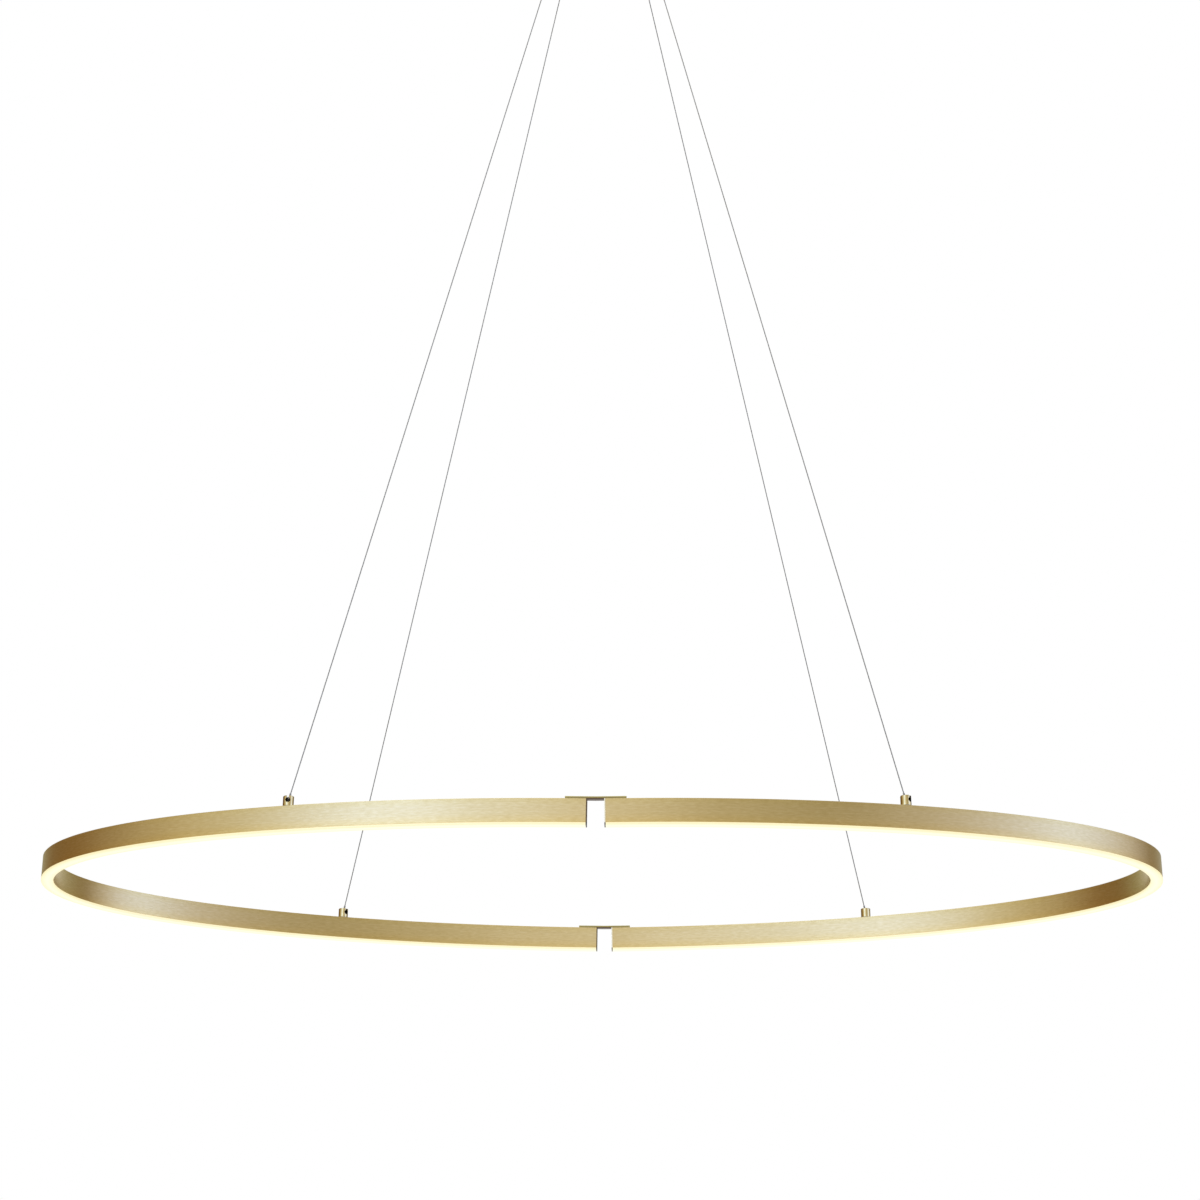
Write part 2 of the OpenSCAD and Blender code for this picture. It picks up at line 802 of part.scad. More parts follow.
module canopy_screws() {
  color(brass)
    for (a = side_angles)
      rotate(a)
        translate([0, 0, side_screw_z])
          rotate([0, 90, 0]) {
            translate([0, 0, plate_r - plate_t - nut_l])
              cylinder(d = side_screw_d, h = canopy_d / 2 - plate_r + plate_t + nut_l, $fn = FINE_FN);
            translate([0, 0, canopy_d / 2])
              cylinder(d1 = side_screw_d + 4, d2 = side_screw_d + 2, h = 2.2, $fn = FINE_FN);
          }
}

// Driver and terminal block, screwed up against the ceiling plate
driver_gap = 2;                 // from the wire hole to the driver
block_gap = 10;                 // from the wire hole to the terminal block
driver_y = wire_hole_d / 2 + driver_gap + driver_w / 2;
ear_l = 9;
small_screw_d = 3;
ear_t = 3;
block_y = -wire_hole_d / 2 - block_gap - block_w / 2;

module driver_ear_spots() {
  for (side = [-1, 1])
    translate([side * (driver_l - ear_l) / 2, driver_y, -plate_t])
      children();
}

body_l = driver_l - 2 * ear_l;
module led_driver() {
  color(case_white)
    difference() {
      union() {
        translate([-body_l / 2, driver_y - driver_w / 2, -plate_t - driver_h])
          linear_extrude(driver_h)
            round_rect([body_l, driver_w], 2);
        translate([-driver_l / 2, driver_y - driver_w / 4, -plate_t - ear_t])
          cube([driver_l, driver_w / 2, ear_t]);
      }
      driver_ear_spots()
        translate([0, 0, -ear_t - cut])
          cylinder(d = small_screw_d + fit, h = ear_t + 2 * cut, $fn = FINE_FN);
    }
}

module small_screw(grip) {
  translate([0, 0, -grip])
    cylinder(d = small_screw_d, h = grip, $fn = FINE_FN);
  translate([0, 0, -grip - 2])
    cylinder(d = small_screw_d + 2.6, h = 2, $fn = FINE_FN);
}

module driver_screws() {
  color(dark_zinc)
    driver_ear_spots()
      small_screw(ear_t);
}

POLES = 3;
pole = block_l / POLES;
clamp_screw_d = 5;
clamp_screw_in = 2;             // how deep a screw's head lies in the block
clamp_slot_w = 0.8;
function pole_x(i) = pole * (i + 0.5) - block_l / 2;

module terminal_block() {
  color(case_white)
    difference() {
      translate([-block_l / 2, block_y - block_w / 2, -plate_t - block_h])
        cube([block_l, block_w, block_h]);
      for (i = [0:POLES - 1])
        translate([pole_x(i), block_y, -plate_t - block_h - cut])
          cylinder(d = clamp_screw_d, h = block_h / 2 + cut, $fn = FINE_FN);
      for (i = [0:POLES - 1])
        translate([pole_x(i), block_y - block_w, -plate_t - block_h / 2])
          rotate([-90, 0, 0])
            cylinder(d = clamp_screw_d - 1, h = 2 * block_w, $fn = FINE_FN);
    }
}

module terminal_screws() {
  color(steel)
    for (i = [0:POLES - 1])
      translate([pole_x(i), block_y, -plate_t - block_h + clamp_screw_in])
        difference() {
          cylinder(
            d = clamp_screw_d - fit, h = (block_h - lead_d) / 2 - clamp_screw_in - fit,
            $fn = FINE_FN
          );
          translate([-clamp_screw_d, -clamp_slot_w / 2, -cut])
            cube([2 * clamp_screw_d, clamp_slot_w, cut + clamp_slot_w]);
        }
}

// Leads. Each leaves its clamp or terminal straight along Y, turns at three round corners and
// meets an end face of the driver squarely. Its route says how far along Y from the driver's
// middle it ends, the length of its first run, its middle corner and the length of its last run.
LEAD_BEND = 6;
BEND_PARTS = 3;
lead_z = -plate_t - driver_h / 2;

FEED_ROUTES = [
  [-1, -1, -9, 22, [72, -35, -20], 11],
  [1, -1, -3, 10, [86, -40, -20], 18],
  [-1, 1, 3, 8, [82, 50, -26], 21],
  [1, 1, 9, 8, [75, 46, -16], 14]
];
SUPPLY_ROUTES = [
  [0, 6, 6.5, [-77, -10, -12], 16],
  [1, -6, 9.5, [-70, 4, -14], 9]
];

function unit(v) = v / norm(v);
function round_corner(a, b, c) =
  let (t = min(LEAD_BEND, norm(a - b) / 2.2, norm(c - b) / 2.2))
  [
    for (k = [0:BEND_PARTS])
      let (f = k / BEND_PARTS)
      b + (1 - f) * (1 - f) * t * unit(a - b) + f * f * t * unit(c - b)
  ];
function way_at(p, k) = unit(p[min(k + 1, len(p) - 1)] - p[max(k - 1, 0)]);
function lead_ring(p, k, sides) =
  let (t = way_at(p, k), n = unit([-t[1], t[0], 0]), u = cross(t, n))
  [
    for (i = [0:sides - 1])
      let (b = 360 * i / sides)
      p[k] + lead_d / 2 * (cos(b) * n + sin(b) * u)
  ];

module lead(from, first_run, corner, end, y, last_run) {
  last = [end * body_l / 2, driver_y + y, lead_z];
  sides = 8;
  knots = [from, from + [0, first_run, 0], corner, last + [end * last_run, 0, 0], last];
  path = concat(
    [from],
    [for (k = [1:3]) each round_corner(knots[k - 1], knots[k], knots[k + 1])],
    [last]
  );
  points = [for (k = [0:len(path) - 1]) each lead_ring(path, k, sides)];
  polyhedron(points, tube_faces(len(path), sides));
}

module feed_leads() {
  color(case_white)
    for (r = FEED_ROUTES)
      lead(
        clamp_at(r[0], r[1]) - [0, r[1] * (clamp_d / 2 - clamp_grip), 0],
        -r[1] * r[3], r[4], 1, r[2], r[5]
      );
}

module supply_leads() {
  color(case_white)
    for (r = SUPPLY_ROUTES)
      lead(
        [pole_x(r[0]), block_y - clamp_screw_d / 2, -plate_t - block_h / 2],
        r[2] + clamp_screw_d / 2 + block_w / 2, r[3], -1, r[1], r[4]
      );
}

ceiling_plate();
canopy_cover();
canopy_screws();
led_driver();
driver_screws();
terminal_block();
terminal_screws();
supply_leads();
feed_leads();
rope_clamps();
gripper_nuts();
gripper_bushes();
gripper(-1, -1);  // gripper_near_left
gripper(1, -1);  // gripper_near_right
gripper(-1, 1);  // gripper_far_left
gripper(1, 1);  // gripper_far_right
plunger(-1, -1);  // plunger_near_left
plunger(1, -1);  // plunger_near_right
plunger(-1, 1);  // plunger_far_left
plunger(1, 1);  // plunger_far_right
spring(-1, -1);  // spring_near_left
spring(1, -1);  // spring_near_right
spring(-1, 1);  // spring_far_left
spring(1, 1);  // spring_far_right
rope(-1, -1);  // rope_near_left
rope(1, -1);  // rope_near_right
rope(-1, 1);  // rope_far_left
rope(1, 1);  // rope_far_right
rope_end(-1, -1);  // rope_end_near_left
rope_end(1, -1);  // rope_end_near_right
rope_end(-1, 1);  // rope_end_far_left
rope_end(1, 1);  // rope_end_far_right
holder(-1, -1, -90);  // holder_near_left
holder(1, -1, -40);  // holder_near_right
holder(-1, 1, -140);  // holder_far_left
holder(1, 1, 100);  // holder_far_right
holder_screw(-1, -1);  // holder_screw_near_left
holder_screw(1, -1);  // holder_screw_near_right
holder_screw(-1, 1);  // holder_screw_far_left
holder_screw(1, 1);  // holder_screw_far_right
holder_washers();
holder_bushes();
contact_pins();
profile(-1);  // profile_left
profile(1);  // profile_right
diffuser(-1);  // diffuser_left
diffuser(1);  // diffuser_right
light_board(-1);  // light_board_left
light_board(1);  // light_board_right
light_chips(-1);  // light_chips_left
light_chips(1);  // light_chips_right
end_cap(-1, -1);  // end_cap_near_left
end_cap(1, -1);  // end_cap_near_right
end_cap(-1, 1);  // end_cap_far_left
end_cap(1, 1);  // end_cap_far_right
bridge(-1);  // bridge_near
bridge(1);  // bridge_far
bridge_screws();
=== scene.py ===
# Oval pendant light: the looks of every piece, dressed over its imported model.
# All sizes are in metres. The origin is the middle of the canopy on the ceiling, +Z is up,
# the oval's length runs along X, and the near side is towards -Y.
import math

import bpy
import bmesh
from mathutils import Matrix, Vector


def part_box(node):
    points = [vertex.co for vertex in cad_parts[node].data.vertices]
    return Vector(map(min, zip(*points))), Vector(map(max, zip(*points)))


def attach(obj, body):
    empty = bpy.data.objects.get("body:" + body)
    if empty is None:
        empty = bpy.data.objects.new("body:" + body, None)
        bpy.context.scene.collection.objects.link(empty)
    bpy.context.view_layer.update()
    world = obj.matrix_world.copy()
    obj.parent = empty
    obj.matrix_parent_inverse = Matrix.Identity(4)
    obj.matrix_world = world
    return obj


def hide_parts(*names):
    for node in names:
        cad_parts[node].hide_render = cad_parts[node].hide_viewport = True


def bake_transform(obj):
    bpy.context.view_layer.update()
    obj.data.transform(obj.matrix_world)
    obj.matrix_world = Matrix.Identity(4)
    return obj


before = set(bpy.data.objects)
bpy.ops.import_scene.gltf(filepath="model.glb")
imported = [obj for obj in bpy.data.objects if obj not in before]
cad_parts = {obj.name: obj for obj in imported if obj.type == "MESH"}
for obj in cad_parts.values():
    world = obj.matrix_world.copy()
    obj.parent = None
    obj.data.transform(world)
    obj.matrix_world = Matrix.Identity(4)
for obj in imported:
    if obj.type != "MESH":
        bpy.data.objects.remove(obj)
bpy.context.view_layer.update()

# Ring, as in the part's source. Each half rises by FOLD from the joint to its far end.
RING_L = 1.5
RING_W = 0.75
BAND_T = 0.016
BAND_H = 0.030
JOINT_GAP = 0.0205
CAP_T = 0.0015
BRIDGE_T = 0.0035
FOLD = math.radians(0.74)
DROP = 1.5

PROFILE_END = JOINT_GAP / 2 + CAP_T
SEMI_L = RING_L / 2 - PROFILE_END
SEMI_W = RING_W / 2
TOP_Z = BAND_H - DROP

# Channel and diffuser in section, with heights from the band's top
WALL_T = 0.0016
SHELF_LOW = -0.0124
RIB_W = 0.0008
RIB_Z = -0.026
RIB_H = 0.001
LENS_H = 0.0027
LEG_T = 0.0012
LEG_RISE = 0.001  # how far a clip leg rises above its rib
FIT = 0.0001  # clearance between a leg and its rib
BAND_EDGE_R = 0.0004
BAND_EDGE_STEPS = 3
LENS_EDGE_R = 0.0009
LENS_EDGE_STEPS = 4
HALF_STATIONS = 181

# Rope holders, with heights from the band's top, and the balls that they hold
HANG_X = 0.384
HOLDER_D = 0.0135
HOLDER_H = 0.0125
HOLDER_FOOT = 0.0009  # where the holder stands, on its washer
BALL_UP = 0.0079  # height of the ball's middle
BALL_D = 0.0056

# Canopy and cable grippers, on the canopy's diagonals
CANOPY_D = 0.22
CANOPY_H = 0.04
BUSH_T = 0.0008
GRIPPER_EDGE = 0.0195  # from the canopy's rim to a gripper's middle
GRIPPER_H = 0.009
NECK_TOP = -0.024
PLUNGER_OUT = 0.004  # how far a plunger stands out below its gripper
GRIPPER_XY = (CANOPY_D / 2 - GRIPPER_EDGE) / math.sqrt(2)

# Wire ropes, straight from the ball to a short bend below the gripper
ROPE_D = 0.0015
ROPE_BEND_R = 0.012
ROPE_GAP = 0.0003  # from the plunger's mouth down to the bend
ROPE_TAIL = 0.007  # how far the rope stands out above the gripper's neck
ROPE_IN_BALL = 0.001  # from the ball's lower skin to the rope's end inside it
ROPE_STRANDS = 6
ROPE_LAY = 0.0105  # length in which the strands go once round
ROPE_RING_SPACING = 0.0011
ROPE_SIDES = 24
STRAND_DIP = 0.22  # depth of the grooves between strands, as a share of the radius
RUN_STEPS = 16
BEND_STEPS = 8
BEND_Z = -CANOPY_H - BUSH_T - GRIPPER_H - PLUNGER_OUT - ROPE_GAP

# Gripper springs
SPRING_WIRE_D = 0.0005
SPRING_TURNS = 4.0
SPRING_STEPS = 32
SPRING_SIDES = 12

# Width by which a file or a tumbler breaks the edges of each kind of piece
HOLDER_BREAK = 0.00025
CAP_BREAK = 0.0002
GRIPPER_BREAK = 0.0002
PLUNGER_BREAK = 0.0001
ROPE_END_BREAK = 0.0001
BRIDGE_BREAK = 0.0003
COVER_BREAK = 0.0003
SCREW_BREAK = 0.0002
BREAK_STEPS = 2

# Angles in degrees: what counts as flat, what is broken, and what stays sharp in the shading
FLAT_ANGLE = 0.5
BREAK_ANGLE = 40
SHARP_SWEEP = 32
SHARP_PIECE = 50
SHARP_WIRE = 60

# Telling faces apart, and merging doubles
SLACK = 0.0001  # how far a test stands off a surface
BORE_INSET = 0.0005  # how far inside a holder's shell its bore begins
WELD = 1e-6  # points closer than this are one

# Which way the two sides and the two depths lie along X and Y, and the corners' names
SIDES = {"left": -1, "right": 1}
DEPTHS = {"near": -1, "far": 1}
CORNERS = {f"{d}_{s}": (SIDES[s], DEPTHS[d]) for d in DEPTHS for s in SIDES}

# Camera, as fitted to the photo. Heading and roll are in radians.
CAMERA_AT = (0.0583, -3.4900, -2.3050)
CAMERA_PITCH = math.radians(19.281)
CAMERA_HEADING = 0.0173
CAMERA_ROLL = 0.0036
CAMERA_LENS = 79.53
CAMERA_SENSOR = 36
CAMERA_REACH = 60  # the camera sees no further than this

# Studio: floor, ring of screens, even light from all round and one soft light overhead
WHITE = (1, 1, 1, 1)
FLOOR_Z = -3.0
FLOOR_R = 14
FLOOR_SIDES = 64
FLOOR_TONE = (0.93, 0.93, 0.93, 1)
FLOOR_ROUGHNESS = 0.8
SCREEN_R = 3.9
SCREEN_H = 9.0
SCREEN_SIDES = 96
WORLD_LIGHT = 0.85
OVERHEAD_AT = (-1.0, -2.0, 1.2)
OVERHEAD_AIM = (0, 0, -1.4)
OVERHEAD_L = 3.0
OVERHEAD_W = 2.0
OVERHEAD_POWER = 18


# Nodes, for materials and for shapes

def add_node(tree, kind, inputs=(), **settings):
    """Adds a node to a tree. Its inputs are values or sockets, by name or number."""
    made = tree.nodes.new(kind)
    for word, value in settings.items():
        setattr(made, word, value)
    for socket, value in dict(inputs).items():
        if isinstance(value, bpy.types.NodeSocket):
            tree.links.new(value, made.inputs[socket])
        else:
            made.inputs[socket].default_value = value
    return made


def maths(tree, operation, *values):
    """One step of arithmetic on values or sockets."""
    made = add_node(tree, "ShaderNodeMath", dict(enumerate(values)), operation=operation)
    return made.outputs[0]


def multiplied(tree, first, second):
    """Two vectors or colours, multiplied part by part."""
    made = add_node(tree, "ShaderNodeVectorMath", {0: first, 1: second}, operation="MULTIPLY")
    return made.outputs["Vector"]


def new_material(name, metallic=0.0, roughness=0.4, **sockets):
    """A principled material and its node tree. Extra words set the shader's own sockets."""
    made = bpy.data.materials.new(name)
    made.use_nodes = True
    shader = made.node_tree.nodes["Principled BSDF"]
    shader.inputs["Metallic"].default_value = metallic
    shader.inputs["Roughness"].default_value = roughness
    for socket, value in sockets.items():
        shader.inputs[socket.replace("_", " ")].default_value = value
    return made, made.node_tree, shader


def coordinates(tree, source="Object"):
    """Object coordinates, or a piece's own UV map."""
    return add_node(tree, "ShaderNodeTexCoord").outputs[source]


def parts_of(tree, vector):
    """A vector's X, Y and Z."""
    return add_node(tree, "ShaderNodeSeparateXYZ", {"Vector": vector}).outputs


def stretched(tree, scale, source="Object"):
    """Coordinates stretched by scale along each axis."""
    made = add_node(
        tree, "ShaderNodeMapping", {"Vector": coordinates(tree, source), "Scale": scale}
    )
    return made.outputs["Vector"]


# How rough every noise is, and the middle range where nearly all its values lie
NOISE_ROUGHNESS = 0.6
NOISE_LOW = 0.3
NOISE_HIGH = 0.7


def noise(tree, vector, detail):
    """A soft grey noise over stretched coordinates."""
    made = add_node(
        tree, "ShaderNodeTexNoise",
        {"Vector": vector, "Scale": 1.0, "Detail": detail, "Roughness": NOISE_ROUGHNESS},
    )
    return made.outputs["Fac"]


def mottle(tree, scale, detail):
    """A noise whose spots are as long as they are wide."""
    return noise(tree, stretched(tree, (scale, scale, scale)), detail)


def ramp(tree, fac, stops):
    """A colour ramp through (place, colour) stops."""
    made = add_node(tree, "ShaderNodeValToRGB", {"Fac": fac})
    points = made.color_ramp.elements
    while len(points) < len(stops):
        points.new(0.5)
    for point, (place, colour) in zip(points, stops):
        point.position = place
        point.color = (*colour, 1)
    return made.outputs["Color"]


def mapped(tree, value, start, end, low=0.0, high=1.0):
    """Maps the range from start to end onto the range from low to high."""
    made = add_node(
        tree, "ShaderNodeMapRange",
        {"Value": value, "From Min": start, "From Max": end, "To Min": low, "To Max": high},
    )
    return made.outputs["Result"]


def spread(tree, fac, low, high):
    """Spreads a noise's middle range over low to high."""
    return mapped(tree, fac, NOISE_LOW, NOISE_HIGH, low, high)


def shaded(tree, fac, tone, share):
    """A tone that a noise takes down to a share of itself."""
    low = tuple(share * c for c in tone)
    return ramp(tree, fac, [(NOISE_LOW, low), (NOISE_HIGH, tone)])


def blended(tree, factor, first, second):
    """Two grey values, mixed by factor."""
    made = add_node(tree, "ShaderNodeMix", {"Factor": factor, "A": first, "B": second})
    return made.outputs["Result"]


# Relief of a finish: its depth in metres and its strength
BRUSH_MARKS = (0.00004, 0.25)
ORANGE_PEEL = (0.00005, 0.2)


def bump(tree, height, relief):
    """Fine relief that follows a noise."""
    depth, strength = relief
    made = add_node(
        tree, "ShaderNodeBump", {"Height": height, "Distance": depth, "Strength": strength}
    )
    return made.outputs["Normal"]


# Grain of the brushed pieces: hairs and coarser flecks, counted for each metre across the
# brush's way and along it. On the round canopy the way goes round the Z axis, and the grain
# along it is counted for each radian.
HAIRS = 2600
FLECKS = 560
BAND_HAIRS_ALONG = 5
BAND_FLECKS_ALONG = 110
BRIDGE_HAIRS_ALONG = 12
CANOPY_HAIRS_ALONG = 3
CANOPY_FLECKS_ALONG = 24


def band_hairs(tree):
    """Hairs along the band, by the way along and across that its sweep leaves as a UV map."""
    return stretched(tree, (BAND_HAIRS_ALONG, HAIRS, 1), "UV")


def band_flecks(tree):
    """Flecks along the band."""
    return stretched(tree, (BAND_FLECKS_ALONG, FLECKS, 1), "UV")


def bridge_hairs(tree):
    """Hairs along X."""
    return stretched(tree, (BRIDGE_HAIRS_ALONG, HAIRS, HAIRS))


def around_axis(tree, across, along):
    """Grain that runs round the Z axis, as a turning brush leaves it."""
    spot = coordinates(tree)
    parts = parts_of(tree, spot)
    flat = multiplied(tree, spot, (1, 1, 0))
    reach = add_node(tree, "ShaderNodeVectorMath", {0: flat}, operation="LENGTH")
    turned = add_node(
        tree, "ShaderNodeCombineXYZ",
        {
            "X": reach.outputs["Value"], "Y": parts["Z"],
            "Z": maths(tree, "ARCTAN2", parts["Y"], parts["X"]),
        },
    )
    return multiplied(tree, turned.outputs["Vector"], (across, across, along))


def canopy_hairs(tree):
    """Hairs round the canopy."""
    return around_axis(tree, HAIRS, CANOPY_HAIRS_ALONG)


def canopy_flecks(tree):
    """Flecks round the canopy."""
    return around_axis(tree, FLECKS, CANOPY_FLECKS_ALONG)


# Brushed brass: its roughness, and its tones from the darkest grain to the palest. The grain is
# hairs with a share of slow drift, and the flecks take their share of the whole.
BRASS_ROUGHNESS = (0.27, 0.36)
DRIFT_SCALE = 9
DRIFT_SHARE = 0.35
FLECK_SHARE = 0.42
BRASS_TONES = [
    (0.3, (0.53, 0.40, 0.17)),
    (0.5, (0.61, 0.475, 0.225)),
    (0.7, (0.69, 0.565, 0.31)),
]

# Painted tint down the band's side: warmer and a little darker at its top edge, and a warm painted
# glow from the lit diffuser towards its bottom
BAND_PAINTED_GLOW = [
    (0.0, (0.98, 0.97, 0.84)),
    (0.3, (1.0, 1.0, 1.0)),
    (0.65, (1.01, 1.0, 0.97)),
    (1.0, (1.06, 1.0, 0.80)),
]


def painted_diffuser_glow(tree):
    """The band's painted tint and painted glow from the diffuser, by the depth below its top edge,
    which its sweep leaves on the mesh.
    """
    depth = add_node(tree, "ShaderNodeAttribute", attribute_name="depth").outputs["Fac"]
    return ramp(tree, mapped(tree, depth, 0.0, BAND_H), BAND_PAINTED_GLOW)


def brushed_brass(name, hairs_of, flecks_of, painted_glow_of=None):
    """Champagne-gold metal with a fine grain and coarser flecks that both run one way."""
    made, tree, shader = new_material(
        name, metallic=1.0, Anisotropic=0.5, Anisotropic_Rotation=0.25,
        Coat_Weight=0.35, Coat_Roughness=0.25,
    )
    hair = noise(tree, hairs_of(tree), detail=4)
    drift = mottle(tree, DRIFT_SCALE, detail=2)
    fleck = noise(tree, flecks_of(tree), detail=1)
    grain = blended(tree, FLECK_SHARE, blended(tree, DRIFT_SHARE, hair, drift), fleck)
    colour = ramp(tree, grain, BRASS_TONES)
    # Painted glow from the lit diffuser, multiplied into the metal's colour
    if painted_glow_of:
        colour = multiplied(tree, colour, painted_glow_of(tree))
    tree.links.new(colour, shader.inputs["Base Color"])
    tree.links.new(spread(tree, hair, *BRASS_ROUGHNESS), shader.inputs["Roughness"])
    tree.links.new(bump(tree, hair, BRUSH_MARKS), shader.inputs["Normal"])
    return made


# The bridge plates: roughness, and tone from painted shade along their lower edge to their
# olive-gold top
BRIDGE_ROUGHNESS = (0.25, 0.35)
BRIDGE_SHADE_TONES = [
    (0.15, (0.10, 0.06, 0.045)),
    (0.5, (0.20, 0.15, 0.06)),
    (0.8, (0.44, 0.36, 0.12)),
]


def bridge_brass():
    """The folded bridge plates: olive gold on top, with painted shade along the lower edge."""
    made, tree, shader = new_material("bridge_brass", metallic=1.0, Anisotropic=0.4)
    height = parts_of(tree, coordinates(tree))["Z"]
    # Painted shade: the tone darkens towards the plate's lower edge
    tone = ramp(tree, mapped(tree, height, TOP_Z, TOP_Z + BRIDGE_T), BRIDGE_SHADE_TONES)
    hair = noise(tree, bridge_hairs(tree), detail=4)
    tree.links.new(tone, shader.inputs["Base Color"])
    tree.links.new(spread(tree, hair, *BRIDGE_ROUGHNESS), shader.inputs["Roughness"])
    tree.links.new(bump(tree, hair, BRUSH_MARKS), shader.inputs["Normal"])
    return made


# Polished brass: the smudges that change its tone and roughness
SMUDGE_SCALE = 160
POLISHED_ROUGHNESS = (0.07, 0.14)
POLISHED_TONES = [
    (0.35, (0.62, 0.49, 0.22)),
    (0.65, (0.72, 0.60, 0.31)),
]


def polished_brass():
    """Bright lacquered brass that deepens to old gold where it is seen at a slant."""
    made, tree, shader = new_material(
        "polished_brass", metallic=1.0, Specular_Tint=(0.12, 0.08, 0.04, 1)
    )
    smudge = mottle(tree, SMUDGE_SCALE, detail=3)
    tree.links.new(ramp(tree, smudge, POLISHED_TONES), shader.inputs["Base Color"])
    tree.links.new(spread(tree, smudge, *POLISHED_ROUGHNESS), shader.inputs["Roughness"])
    return made


# Plain metals: the size of their mottle, and how dark it is beside the tone
STEEL_SCALE = 300
STEEL_SHADE = 0.85


def steel(name, tone, roughness):
    """Plain metal with a faint mottle, and a roughness from low to high."""
    made, tree, shader = new_material(name, metallic=1.0)
    spots = mottle(tree, STEEL_SCALE, detail=3)
    tree.links.new(shaded(tree, spots, tone, STEEL_SHADE), shader.inputs["Base Color"])
    tree.links.new(spread(tree, spots, *roughness), shader.inputs["Roughness"])
    return made


# Plastics and paints: how dark their peel is beside the tone, and how far it leaves the roughness
PEEL_SHADE = 0.93
PEEL_SMOOTHER = 0.05
PEEL_ROUGHER = 0.06


def moulded(name, tone, roughness, grain=900, metallic=0.0):
    """Plastic or paint with a fine orange-peel texture."""
    made, tree, shader = new_material(name, metallic=metallic)
    peel = mottle(tree, grain, detail=2)
    sheen = spread(tree, peel, roughness - PEEL_SMOOTHER, roughness + PEEL_ROUGHER)
    tree.links.new(shaded(tree, peel, tone, PEEL_SHADE), shader.inputs["Base Color"])
    tree.links.new(sheen, shader.inputs["Roughness"])
    tree.links.new(bump(tree, peel, ORANGE_PEEL), shader.inputs["Normal"])
    return made


# Opal plastic: its own tone, its roughness, the strength of its light with the slow clouds in it,
# and the glow from its upper edges, beside the metal, to the middle of its underside
OPAL_TONE = (0.36, 0.34, 0.25, 1)
OPAL_ROUGHNESS = (0.3, 0.4)
OPAL_LIGHT = (0.68, 0.71)
CLOUD_SCALE = 60
OPAL_GLOW = [
    (0.0, (1.0, 0.87, 0.45)),
    (0.25, (1.0, 0.90, 0.54)),
    (0.5, (1.0, 0.92, 0.64)),
    (1.0, (1.0, 0.96, 0.79)),
]


def lit_opal():
    """Opal plastic lit from inside: warm beside the metal, paler along its middle."""
    made, tree, shader = new_material("lit_opal")
    middle = BAND_T / 2 + LENS_H
    across = parts_of(tree, coordinates(tree, "UV"))["Y"]
    reach = maths(tree, "ABSOLUTE", maths(tree, "SUBTRACT", across, middle))
    glow = ramp(tree, mapped(tree, reach, middle, 0.0), OPAL_GLOW)
    cloud = mottle(tree, CLOUD_SCALE, detail=2)
    shader.inputs["Base Color"].default_value = OPAL_TONE
    tree.links.new(glow, shader.inputs["Emission Color"])
    tree.links.new(spread(tree, cloud, *OPAL_LIGHT), shader.inputs["Emission Strength"])
    tree.links.new(spread(tree, cloud, *OPAL_ROUGHNESS), shader.inputs["Roughness"])
    return made


# Every finish. A plain metal has its tone and its roughness from low to high, and a plastic or a
# paint its tone, its roughness and, where it isn't the usual one, the grain of its peel.
MATERIALS = {
    # The band's brass carries the painted glow from the diffuser
    "band": brushed_brass("brushed_band", band_hairs, band_flecks, painted_diffuser_glow),
    "canopy": brushed_brass("brushed_canopy", canopy_hairs, canopy_flecks),
    "bridge": bridge_brass(),
    # Shaded and lit copies of the end caps' brass: painted shade on the left caps, painted light
    # on the right ones
    "bronze": steel("dark_bronze", (0.13, 0.09, 0.05), (0.3, 0.4)),
    "pale": steel("pale_brass", (0.95, 0.88, 0.66), (0.22, 0.3)),
    "black": moulded("black_lip", (0.02, 0.02, 0.018), 0.4),
    # Near-black painted shade for the holders' keyholes and bores and for the balls inside them
    "bore": moulded("blackened_bore", (0.03, 0.022, 0.012), 0.5, metallic=0.5),
    "polished": polished_brass(),
    "rope": steel("rope_wire", (0.31, 0.30, 0.26), (0.38, 0.5)),
    "bright": steel("bright_steel", (0.74, 0.73, 0.73), (0.15, 0.25)),
    "zinc": steel("zinc_plate", (0.42, 0.43, 0.44), (0.35, 0.5)),
    "opal": lit_opal(),
    "painted": moulded("white_powder_coat", (0.78, 0.78, 0.76), 0.45, 700),
    "case": moulded("white_case", (0.76, 0.76, 0.73), 0.5),
    "sleeve": moulded("lead_sleeve", (0.82, 0.82, 0.80), 0.35, 400),
    "nylon": moulded("nylon_washer", (0.72, 0.72, 0.68), 0.45),
    "board": moulded("solder_mask", (0.8, 0.8, 0.77), 0.4),
    "chip": moulded("chip_lens", (0.95, 0.78, 0.2), 0.3),
}


# Meshes

def link_object(name, data):
    """An object at the origin, linked to the scene."""
    made = bpy.data.objects.new(name, data)
    bpy.context.scene.collection.objects.link(made)
    return made


def plain_mesh(piece):
    """Turns a piece's evaluated shape into a plain mesh and drops its modifiers."""
    graph = bpy.context.evaluated_depsgraph_get()
    mesh = bpy.data.meshes.new_from_object(piece.evaluated_get(graph))
    old = piece.data
    piece.modifiers.clear()
    piece.data = mesh
    mesh.name = piece.name
    if old.users == 0:
        bpy.data.meshes.remove(old)
    return piece


def sharpen(piece, degrees):
    """Smooth shading with sharp edges where the faces turn by more than so many degrees."""
    piece.data.shade_smooth()
    piece.data.set_sharp_from_angle(angle=math.radians(degrees))


def even_normals(piece):
    """Lets the large faces set the shading, so that small bevels catch the light cleanly."""
    piece.modifiers.new("even", "WEIGHTED_NORMAL").keep_sharp = True
    plain_mesh(piece)


